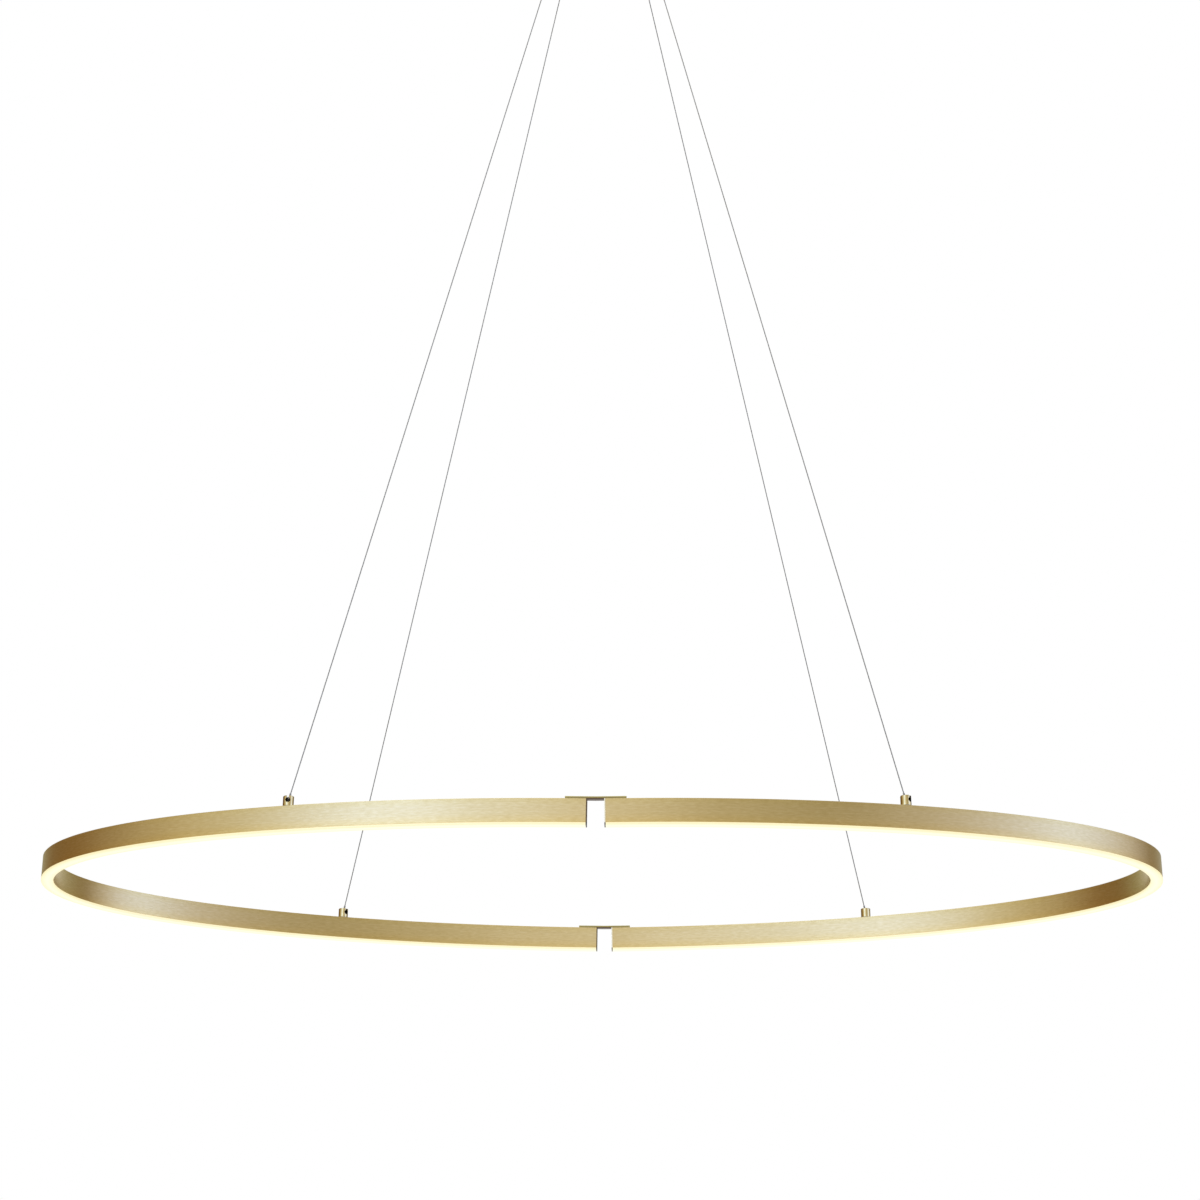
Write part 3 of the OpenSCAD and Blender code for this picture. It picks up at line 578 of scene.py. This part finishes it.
class Tree:
    """One Geometry Nodes tree. Its inputs are named, and it makes plain meshes."""

    def __init__(self, name, sizes):
        self.tree = bpy.data.node_groups.new(name, "GeometryNodeTree")
        interface = self.tree.interface
        self.named = {}
        for label, kind in {**sizes, "Material": "Material"}.items():
            made = interface.new_socket(label, in_out="INPUT", socket_type=f"NodeSocket{kind}")
            self.named[label] = made.identifier
        interface.new_socket("Mesh", in_out="OUTPUT", socket_type="NodeSocketGeometry")
        self.given = self.tree.nodes.new("NodeGroupInput")

    def __getitem__(self, label):
        return self.given.outputs[label]

    def add(self, kind, inputs=(), **settings):
        return add_node(self.tree, kind, inputs, **settings)

    def maths(self, operation, *values):
        return maths(self.tree, operation, *values)

    def vector(self, **parts):
        """A vector from its X, Y and Z."""
        return self.add("ShaderNodeCombineXYZ", parts).outputs[0]

    def line(self, label):
        """The curve of the object that is given as an input."""
        return self.add("GeometryNodeObjectInfo", {"Object": self[label]}).outputs["Geometry"]

    def store(self, geometry, label, value, data_type="FLOAT", domain="POINT"):
        """Leaves a named attribute on a curve or a mesh."""
        made = self.add(
            "GeometryNodeStoreNamedAttribute",
            {"Geometry": geometry, "Name": label, "Value": value},
            data_type=data_type, domain=domain,
        )
        return made.outputs[0]

    def read(self, label):
        """Reads an attribute that store has left."""
        made = self.add("GeometryNodeInputNamedAttribute", {"Name": label}, data_type="FLOAT")
        return made.outputs["Attribute"]

    def ring(self, sides, diameter):
        """A round section."""
        radius = self.maths("MULTIPLY", diameter, 0.5)
        made = self.add(
            "GeometryNodeCurvePrimitiveCircle", {"Resolution": sides, "Radius": radius}
        )
        return made.outputs["Curve"]

    def swept(self, path, section):
        """A section swept along a path, with closed ends."""
        made = self.add(
            "GeometryNodeCurveToMesh", {"Curve": path, "Profile Curve": section, "Fill Caps": True}
        )
        return made.outputs[0]

    def moved(self, mesh, **transform):
        """A mesh moved by words such as Translation, Rotation or Scale."""
        return self.add("GeometryNodeTransform", {"Geometry": mesh, **transform}).outputs[0]

    def close(self, mesh):
        """Realizes what is instanced, sets the material and joins the result to the output."""
        real = self.add("GeometryNodeRealizeInstances", {"Geometry": mesh})
        painted = self.add(
            "GeometryNodeSetMaterial", {"Geometry": real.outputs[0], "Material": self["Material"]}
        )
        self.add("NodeGroupOutput", {0: painted.outputs[0]})
        return self

    def make(self, name, material, **sizes):
        """A plain mesh piece with the tree's sizes set. A label's spaces are underscores."""
        piece = link_object(name, bpy.data.meshes.new(name))
        layer = piece.modifiers.new("shape", "NODES")
        layer.node_group = self.tree
        for label, value in {**sizes, "Material": material}.items():
            layer[self.named[label.replace("_", " ")]] = value
        return plain_mesh(piece)


def outline(name, points, closed=True):
    """A line through points that a tree takes as a section or a path. It isn't seen itself."""
    data = bpy.data.curves.new(name, "CURVE")
    data.dimensions = "3D"
    line = data.splines.new("POLY")
    line.points.add(len(points) - 1)
    for spot, point in zip(line.points, points):
        spot.co = (*Vector(point).to_3d(), 1)
    line.use_cyclic_u = closed
    made = link_object(name, data)
    made.hide_render = True
    return made


def drop_outline(made):
    """Removes a line once its pieces are made."""
    data = made.data
    bpy.data.objects.remove(made)
    bpy.data.curves.remove(data)


# Finer pieces: the carried-over shape with its edges broken

def clean_copy(node, split=None):
    """A copy of a node's mesh with its doubles merged and its flat facets joined.

    split is a plane, a point and its normal, that cuts faces where the finish changes."""
    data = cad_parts[node].data.copy()
    bm = bmesh.new()
    bm.from_mesh(data)
    bmesh.ops.remove_doubles(bm, verts=bm.verts, dist=WELD)
    bmesh.ops.dissolve_limit(
        bm, angle_limit=math.radians(FLAT_ANGLE),
        verts=bm.verts, edges=bm.edges, delimit={"NORMAL"},
    )
    if split:
        place, normal = split
        parts = [*bm.verts, *bm.edges, *bm.faces]
        bmesh.ops.bisect_plane(bm, geom=parts, plane_co=place, plane_no=normal)
    bm.to_mesh(data)
    bm.free()
    return data


def paint(data, finish, second=None, is_second=None):
    """Sets a finish, and a second one on the faces whose middle passes is_second."""
    data.materials.clear()
    data.materials.append(MATERIALS[finish])
    if second:
        data.materials.append(MATERIALS[second])
    for face in data.polygons:
        face.material_index = int(bool(second) and is_second(face.center))


def refined(node, finish, body, width, second=None, is_second=None, split=None):
    """A node made new with its edges rounded by width, in one finish or two."""
    data = clean_copy(node, split)
    paint(data, finish, second, is_second)
    piece = link_object(f"{node}_finished", data)
    edge = piece.modifiers.new("edge", "BEVEL")
    edge.width = width
    edge.segments = BREAK_STEPS
    edge.limit_method = "ANGLE"
    edge.angle_limit = math.radians(BREAK_ANGLE)
    edge.use_clamp_overlap = True
    plain_mesh(piece)
    sharpen(piece, SHARP_PIECE)
    even_normals(piece)
    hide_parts(node)
    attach(piece, body)
    return piece


# Places on the two halves. A half's own frame lies on the band's top and leans by the fold.

def half_point(point, side):
    """Where a point of a half's own frame lies in the lamp."""
    x, y, z = point
    return Vector((
        side * (x * math.cos(FOLD) - z * math.sin(FOLD)),
        y,
        x * math.sin(FOLD) + z * math.cos(FOLD) + TOP_Z,
    ))


def half_up(side):
    """The upright of a half's own frame, as it leans in the lamp."""
    return half_point((0, 0, 1), side) - half_point((0, 0, 0), side)


def hang_spot(side, depth, height):
    """The lamp's point at a height above the middle of the band, where a rope holder stands."""
    # The ellipse's own angle at the holder, and the way that the band runs there
    angle = math.asin((HANG_X - PROFILE_END) / SEMI_L)
    way = math.atan2(SEMI_W * math.sin(angle), SEMI_L * math.cos(angle))
    x = HANG_X - BAND_T / 2 * math.sin(way)
    y = -SEMI_W * math.cos(angle) + BAND_T / 2 * math.cos(way)
    return half_point((x, -depth * y, height), side)


def near_ball(side, depth):
    """A test for the faces of a rope's ball, apart from its sleeve, which take the painted shade.
    """
    ball = hang_spot(side, depth, BALL_UP)
    return lambda spot: (spot - ball).length < BALL_D / 2 + SLACK


def in_bore(side, depth):
    """A test for the faces of a holder's keyhole and bore, inside its outer shell, which take the
    painted shade.
    """
    foot = hang_spot(side, depth, 0)
    up = half_up(side)

    def inside(spot):
        arm = spot - foot
        height = arm.dot(up)
        reach = (arm - height * up).length
        between = HOLDER_FOOT + SLACK < height < HOLDER_FOOT + HOLDER_H - SLACK
        return between and reach < HOLDER_D / 2 - BORE_INSET

    return inside


# Wire ropes

def rope_route(side, depth):
    """The rope's points from inside its ball to its tail above the gripper."""
    up = Vector((0, 0, 1))
    ball = hang_spot(side, depth, BALL_UP)
    gripper = Vector((side * GRIPPER_XY, depth * GRIPPER_XY, BEND_Z))
    # The rope leans towards the corner that its bend rounds, which lies below the gripper
    corner = gripper - ROPE_BEND_R * math.tan(up.angle(gripper - ball) / 2) * up
    lean = (corner - ball).normalized()
    tilt = up.angle(lean)
    out = Vector((lean.x, lean.y, 0)).normalized()
    back = ROPE_BEND_R * math.tan(tilt / 2)
    low = ball - (BALL_D / 2 - ROPE_IN_BALL) * lean
    bend_foot = corner - back * lean
    bend_middle = Vector((gripper.x, gripper.y, corner.z + back)) - ROPE_BEND_R * out
    run = [low.lerp(bend_foot, k / RUN_STEPS) for k in range(RUN_STEPS)]
    bend = []
    for k in range(BEND_STEPS + 1):
        angle = tilt * (1 - k / BEND_STEPS)
        bend.append(bend_middle + ROPE_BEND_R * (math.cos(angle) * out - math.sin(angle) * up))
    tail = Vector((gripper.x, gripper.y, NECK_TOP + ROPE_TAIL))
    return run + bend + [bend[-1].lerp(tail, 0.5), tail]


def path_length(points):
    """How long a line through points is."""
    return sum((b - a).length for a, b in zip(points, points[1:]))


def rope_tree():
    """Strands laid round a core: a lobed section that turns as it follows the path."""
    tree = Tree(
        "wire rope",
        {"Path": "Object", "Diameter": "Float", "Lay length": "Float", "Ring spacing": "Float"},
    )
    fine = tree.add(
        "GeometryNodeResampleCurve",
        {"Curve": tree.line("Path"), "Length": tree["Ring spacing"]}, mode="LENGTH",
    )
    upright = tree.add("GeometryNodeSetCurveNormal", {"Curve": fine.outputs[0]})
    run = tree.add("GeometryNodeSplineParameter").outputs["Length"]
    turns = tree.maths("DIVIDE", run, tree["Lay length"])
    twist = tree.add(
        "GeometryNodeSetCurveTilt",
        {"Curve": upright.outputs[0], "Tilt": tree.maths("MULTIPLY", turns, 2 * math.pi)},
    )
    share = tree.add("GeometryNodeSplineParameter").outputs["Factor"]
    lobe = tree.maths("MULTIPLY", share, ROPE_STRANDS * math.pi)
    wave = tree.maths("ABSOLUTE", tree.maths("COSINE", lobe))
    size = tree.maths("MULTIPLY_ADD", wave, STRAND_DIP, 1 - STRAND_DIP)
    spot = tree.add("GeometryNodeInputPosition").outputs[0]
    grown = tree.add("ShaderNodeVectorMath", {0: spot, "Scale": size}, operation="SCALE")
    strands = tree.add(
        "GeometryNodeSetPosition",
        {"Geometry": tree.ring(ROPE_SIDES, tree["Diameter"]), "Position": grown.outputs[0]},
    )
    return tree.close(tree.swept(twist.outputs[0], strands.outputs[0]))


def make_ropes():
    """The four ropes, each with the pressed ball and sleeve on its lower end."""
    tree = rope_tree()
    for corner, (side, depth) in CORNERS.items():
        points = rope_route(side, depth)
        path = outline(f"path_{corner}", points, closed=False)
        rope = tree.make(
            f"wire_rope_{corner}", MATERIALS["rope"],
            Path=path, Diameter=ROPE_D, Lay_length=ROPE_LAY, Ring_spacing=ROPE_RING_SPACING,
        )
        drop_outline(path)
        sharpen(rope, SHARP_WIRE)
        # The ball deep in its holder is painted near-black, as painted shade
        end = refined(
            f"rope_end_{corner}", "rope", "lamp", ROPE_END_BREAK,
            second="bore", is_second=near_ball(side, depth),
        )
        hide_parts(f"rope_{corner}")
        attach(rope, "lamp")
        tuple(points[0])
        path_length(points)


def make_camera():
    """The camera at the photo's place, with the photo's view."""
    data = bpy.data.cameras.new("camera")
    data.lens = CAMERA_LENS
    data.sensor_width = CAMERA_SENSOR
    data.clip_end = CAMERA_REACH
    camera = link_object("camera", data)
    turn = (
        Matrix.Rotation(CAMERA_HEADING, 4, "Z")
        @ Matrix.Rotation(math.pi / 2 + CAMERA_PITCH, 4, "X")
        @ Matrix.Rotation(CAMERA_ROLL, 4, "Z")
    )
    camera.matrix_world = Matrix.Translation(CAMERA_AT) @ turn
    bpy.context.scene.camera = camera


make_camera()
make_ropes()


# The bent channel and the diffuser follow the half oval

def half_oval(tree):
    """The half oval's path from the near joint to the far one."""
    line = tree.add("GeometryNodeMeshLine", {"Count": tree["Stations"]})
    index = tree.add("GeometryNodeInputIndex")
    last = tree.maths("SUBTRACT", tree["Stations"], 1)
    angle = tree.maths("MULTIPLY", tree.maths("DIVIDE", index.outputs[0], last), math.pi)
    sine = tree.maths("SINE", angle)
    cosine = tree.maths("COSINE", angle)
    x = tree.maths("MULTIPLY_ADD", sine, tree["Half length"], tree["Start"])
    y = tree.maths("MULTIPLY", tree.maths("MULTIPLY", cosine, tree["Half width"]), -1)
    bent = tree.add(
        "GeometryNodeSetPosition",
        {"Geometry": line.outputs[0], "Position": tree.vector(X=x, Y=y)},
    )
    path = tree.add("GeometryNodeMeshToCurve", {"Mesh": bent.outputs[0]})
    upright = tree.add("GeometryNodeSetCurveNormal", {"Curve": path.outputs[0]}, mode="Z_UP")
    return upright.outputs[0]


def sweep_tree():
    """A section that follows the half oval, leans by the fold and is mirrored for a side.

    It leaves the way along and across the section as a UV map, and the depth below the top."""
    tree = Tree(
        "half oval sweep",
        {
            "Section": "Object", "Stations": "Int", "Start": "Float", "Half length": "Float",
            "Half width": "Float", "Fold": "Float", "Height": "Float", "Side": "Float",
        },
    )
    way = tree.add("GeometryNodeSplineParameter").outputs["Length"]
    spot = tree.add("GeometryNodeInputPosition").outputs[0]
    depth = tree.add("ShaderNodeSeparateXYZ", {0: spot}).outputs["Y"]
    section = tree.store(tree.line("Section"), "across", way)
    section = tree.store(section, "depth", depth)
    path = tree.store(half_oval(tree), "along", way)
    swept = tree.swept(path, section)
    grain = tree.vector(X=tree.read("along"), Y=tree.read("across"))
    swept = tree.store(swept, "UVMap", grain, data_type="FLOAT2", domain="CORNER")
    placed = tree.moved(
        swept,
        Rotation=tree.vector(Y=tree.maths("MULTIPLY", tree["Fold"], -1)),
        Translation=tree.vector(Z=tree["Height"]),
    )
    return tree.close(tree.moved(placed, Scale=tree.vector(X=tree["Side"], Y=1, Z=1)))


def rounded(points, steps):
    """An outline of corners as (x, z), with arcs in so many steps where a radius follows."""
    made = []
    count = len(points)
    for i, point in enumerate(points):
        here = Vector(point[:2])
        if len(point) == 2:
            made.append(here)
            continue
        r = point[2]
        before = (Vector(points[i - 1][:2]) - here).normalized()
        after = (Vector(points[(i + 1) % count][:2]) - here).normalized()
        half = before.angle(after) / 2
        reach = r / math.tan(half)
        centre = here + (before + after).normalized() * r / math.sin(half)
        first = here + before * reach - centre
        turn = first.angle_signed(here + after * reach - centre)
        for k in range(steps + 1):
            arm = first.copy()
            arm.rotate(Matrix.Rotation(-turn * k / steps, 2))
            made.append(centre + arm)
    return made


def channel_section():
    """The channel: a closed top over an open light space, with the ribs that hold the diffuser."""
    t, w, edge = BAND_T, WALL_T, BAND_EDGE_R
    rib = WALL_T + RIB_W
    rib_top = RIB_Z + RIB_H
    corners = [
        (0, 0, edge), (0, -BAND_H, edge), (w, -BAND_H), (w, RIB_Z), (rib, RIB_Z),
        (rib, rib_top), (w, rib_top), (w, SHELF_LOW), (t - w, SHELF_LOW),
        (t - w, rib_top), (t - rib, rib_top), (t - rib, RIB_Z), (t - w, RIB_Z),
        (t - w, -BAND_H), (t, -BAND_H, edge), (t, 0, edge),
    ]
    return rounded(corners, BAND_EDGE_STEPS)


def lens_section():
    """The diffuser's full-width head with its two clip legs."""
    t, edge = BAND_T, LENS_EDGE_R
    low = -BAND_H - LENS_H
    leg = WALL_T + RIB_W + FIT
    inner = leg + LEG_T
    top = RIB_Z + RIB_H + FIT + LEG_RISE
    corners = [
        (0, -BAND_H), (0, low, edge), (t, low, edge), (t, -BAND_H),
        (t - leg, -BAND_H), (t - leg, top), (t - inner, top), (t - inner, -BAND_H),
        (inner, -BAND_H), (inner, top), (leg, top), (leg, -BAND_H),
    ]
    return rounded(corners, LENS_EDGE_STEPS)


def make_halves():
    """The two half rings of channel and the two diffusers under them."""
    tree = sweep_tree()
    shapes = {
        "channel": (channel_section(), "profile", "band", "brushed_brass"),
        "opal": (lens_section(), "diffuser", "opal", "opal"),
    }
    for word, (section, node, finish, slot) in shapes.items():
        # The sweep turns a section half round, so it is given turned back
        line = outline(f"section_{word}", [(-x, -z) for x, z in section])
        for name, side in SIDES.items():
            piece = tree.make(
                f"{word}_{name}", MATERIALS[finish],
                Section=line, Stations=HALF_STATIONS, Start=PROFILE_END, Half_length=SEMI_L,
                Half_width=SEMI_W, Fold=FOLD, Height=TOP_Z, Side=side,
            )
            if side < 0:
                # A mirrored half comes out inside out
                piece.data.flip_normals()
            sharpen(piece, SHARP_SWEEP)
            even_normals(piece)
            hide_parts(f"{node}_{name}")
            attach(piece, "lamp")
        drop_outline(line)


make_halves()


# Holders, end caps, grippers, bridge plates and canopy

def make_holder(corner, side, depth):
    """A polished rope holder whose keyhole and bore are painted near-black as painted shade."""
    refined(
        f"holder_{corner}", "polished", f"holder_{corner}", HOLDER_BREAK,
        second="bore", is_second=in_bore(side, depth),
    )


def make_end_cap(corner, side):
    """An end cap with a black lip below the metal; above it, painted shade on the left caps and
    painted light on the right, as shaded and lit copies of one brass.
    """
    edge = half_point((0, 0, -BAND_H), side)
    up = half_up(side)
    refined(
        # Painted shade on the left caps, painted light on the right ones
        f"end_cap_{corner}", "bronze" if side < 0 else "pale", "lamp", CAP_BREAK,
        second="black", is_second=lambda spot: (spot - edge).dot(up) < 0, split=(edge, up),
    )


def make_finer_pieces():
    """Every node that is made new with its edges broken, apart from the ropes' ends."""
    for corner, (side, depth) in CORNERS.items():
        plunger = f"plunger_{corner}"
        make_holder(corner, side, depth)
        make_end_cap(corner, side)
        refined(f"gripper_{corner}", "polished", "lamp", GRIPPER_BREAK)
        refined(plunger, "bright", plunger, PLUNGER_BREAK)
    for depth in DEPTHS:
        refined(f"bridge_{depth}", "bridge", "lamp", BRIDGE_BREAK)
    refined("canopy_cover", "canopy", "lamp", COVER_BREAK)
    refined("canopy_screws", "polished", "lamp", SCREW_BREAK)


# Gripper springs

def spring_tree():
    """A coil of round wire that stands on its lower end."""
    tree = Tree(
        "gripper spring",
        {
            "Turns": "Float", "Radius": "Float", "Height": "Float", "Wire diameter": "Float",
            "Place": "Vector",
        },
    )
    coil = tree.add(
        "GeometryNodeCurveSpiral",
        {
            "Resolution": SPRING_STEPS, "Rotations": tree["Turns"],
            "Start Radius": tree["Radius"], "End Radius": tree["Radius"],
            "Height": tree["Height"],
        },
    )
    swept = tree.swept(coil.outputs[0], tree.ring(SPRING_SIDES, tree["Wire diameter"]))
    return tree.close(tree.moved(swept, Translation=tree["Place"]))


def make_springs():
    """Each spring stands on its plunger's flange."""
    tree = spring_tree()
    for corner in CORNERS:
        low, high = (Vector(c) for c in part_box(f"spring_{corner}"))
        foot = Vector(((low.x + high.x) / 2, (low.y + high.y) / 2, low.z + SPRING_WIRE_D / 2))
        spring = tree.make(
            f"coil_{corner}", MATERIALS["bright"],
            Turns=SPRING_TURNS, Radius=(high.y - low.y - SPRING_WIRE_D) / 2,
            Height=high.z - low.z - SPRING_WIRE_D, Wire_diameter=SPRING_WIRE_D, Place=foot,
        )
        sharpen(spring, SHARP_WIRE)
        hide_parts(f"spring_{corner}")
        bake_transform(spring)


make_finer_pieces()
make_springs()


# Carried-over pieces keep their exact shape and get their finish, by how their names start
FINISHES = {
    "bridge_screws": "polished",
    "ceiling_plate": "painted",
    "contact_pins": "bright",
    "driver_screws": "zinc",
    "feed_leads": "sleeve",
    "gripper_bushes": "nylon",
    "gripper_nuts": "zinc",
    "holder_bushes": "nylon",
    "holder_screw": "bright",
    "holder_washers": "nylon",
    "led_driver": "case",
    "light_board": "board",
    "light_chips": "chip",
    "rope_clamps": "polished",
    "supply_leads": "sleeve",
    "terminal_block": "case",
    "terminal_screws": "zinc",
}


def dress_nodes():
    """Gives the carried-over nodes their finish."""
    for node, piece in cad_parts.items():
        for kind, finish in FINISHES.items():
            if node.startswith(kind):
                piece.data.materials.clear()
                piece.data.materials.append(MATERIALS[finish])


dress_nodes()


# Studio

def make_world():
    """White where the camera, metal and glass look, and a soft even light on everything else."""
    world = bpy.data.worlds.new("studio")
    world.use_nodes = True
    bpy.context.scene.world = world
    tree = world.node_tree
    tree.nodes.clear()
    seen = add_node(tree, "ShaderNodeBackground", {"Color": WHITE, "Strength": 1.0})
    light = add_node(tree, "ShaderNodeBackground", {"Color": WHITE, "Strength": WORLD_LIGHT})
    rays = add_node(tree, "ShaderNodeLightPath").outputs
    looks = maths(tree, "MAXIMUM", rays["Is Camera Ray"], rays["Is Glossy Ray"])
    looks = maths(tree, "MAXIMUM", looks, rays["Is Transmission Ray"])
    mix = add_node(
        tree, "ShaderNodeMixShader", {"Fac": looks, 1: light.outputs[0], 2: seen.outputs[0]}
    )
    add_node(tree, "ShaderNodeOutputWorld", {"Surface": mix.outputs[0]})


def stage_piece(name, bm, height):
    """A piece of the studio from a bmesh round the origin, moved to its height."""
    mesh = bpy.data.meshes.new(name)
    bm.to_mesh(mesh)
    bm.free()
    mesh.transform(Matrix.Translation((0, 0, height)))
    return link_object(name, mesh)


def clear_from_below(tree, shader):
    """Lets a look from under the floor pass through it to the lamp."""
    below = add_node(tree, "ShaderNodeNewGeometry").outputs["Backfacing"]
    clear = add_node(tree, "ShaderNodeBsdfTransparent").outputs["BSDF"]
    mix = add_node(
        tree, "ShaderNodeMixShader", {"Fac": below, 1: shader.outputs["BSDF"], 2: clear}
    )
    tree.links.new(mix.outputs[0], tree.nodes["Material Output"].inputs["Surface"])


def make_floor():
    """A plain pale floor."""
    bm = bmesh.new()
    bmesh.ops.create_circle(bm, cap_ends=True, radius=FLOOR_R, segments=FLOOR_SIDES)
    floor = stage_piece("floor", bm, FLOOR_Z)
    made, tree, shader = new_material("pale_floor", roughness=FLOOR_ROUGHNESS)
    shader.inputs["Base Color"].default_value = FLOOR_TONE
    floor.data.materials.append(made)
    clear_from_below(tree, shader)


# Tones of the studio's soft panels and drapes, by the heading from the lamp: 0 is towards the
# near side and 90 degrees is along +X
SCREEN_TONES = [
    (-180, (0.85, 0.85, 0.80)),
    (-150, (0.45, 0.45, 0.30)),
    (-120, (0.28, 0.18, 0.08)),
    (-95, (0.32, 0.20, 0.08)),
    (-60, (0.80, 0.75, 0.60)),
    (-45, (0.95, 1.00, 1.05)),
    (-28, (1.50, 1.90, 3.20)),
    (-14, (1.15, 1.30, 1.70)),
    (0, (0.95, 0.95, 0.95)),
    (27, (0.50, 0.45, 0.30)),
    (50, (0.80, 0.80, 0.90)),
    (75, (1.30, 1.60, 2.70)),
    (100, (0.80, 0.80, 0.90)),
    (120, (0.30, 0.22, 0.10)),
    (150, (0.50, 0.50, 0.40)),
    (180, (0.85, 0.85, 0.80)),
]


def screen_tones():
    """The glow of the screens, which changes with the heading alone."""
    made = bpy.data.materials.new("screen_tones")
    made.use_nodes = True
    tree = made.node_tree
    tree.nodes.clear()
    spot = parts_of(tree, coordinates(tree))
    nearness = maths(tree, "MULTIPLY", spot["Y"], -1)
    heading = maths(tree, "ARCTAN2", spot["X"], nearness)
    place = mapped(tree, heading, -math.pi, math.pi)
    brightest = max(max(tone) for _, tone in SCREEN_TONES)
    stops = [
        ((degrees + 180) / 360, tuple(c / brightest for c in tone))
        for degrees, tone in SCREEN_TONES
    ]
    glow = add_node(
        tree, "ShaderNodeEmission", {"Color": ramp(tree, place, stops), "Strength": brightest}
    )
    add_node(tree, "ShaderNodeOutputMaterial", {"Surface": glow.outputs[0]})
    return made


def make_screens():
    """A ring of soft panels and dark drapes that only polished and brushed metal picks up."""
    bm = bmesh.new()
    bmesh.ops.create_cone(
        bm, cap_ends=False, segments=SCREEN_SIDES,
        radius1=SCREEN_R, radius2=SCREEN_R, depth=SCREEN_H,
    )
    screens = stage_piece("screens", bm, FLOOR_Z + SCREEN_H / 2)
    screens.data.materials.append(screen_tones())
    for word in ("camera", "diffuse", "transmission", "volume_scatter", "shadow"):
        setattr(screens, f"visible_{word}", False)


def make_overhead_light():
    """One soft overhead light, so that shapes read on white."""
    data = bpy.data.lights.new("overhead", "AREA")
    data.shape = "RECTANGLE"
    data.size = OVERHEAD_L
    data.size_y = OVERHEAD_W
    data.energy = OVERHEAD_POWER
    lamp = link_object("overhead", data)
    lamp.location = OVERHEAD_AT
    aim = Vector(OVERHEAD_AIM) - lamp.location
    lamp.rotation_euler = aim.to_track_quat("-Z", "Y").to_euler()


make_world()
make_floor()
make_screens()
make_overhead_light()
bpy.context.scene.view_settings.view_transform = "Standard"
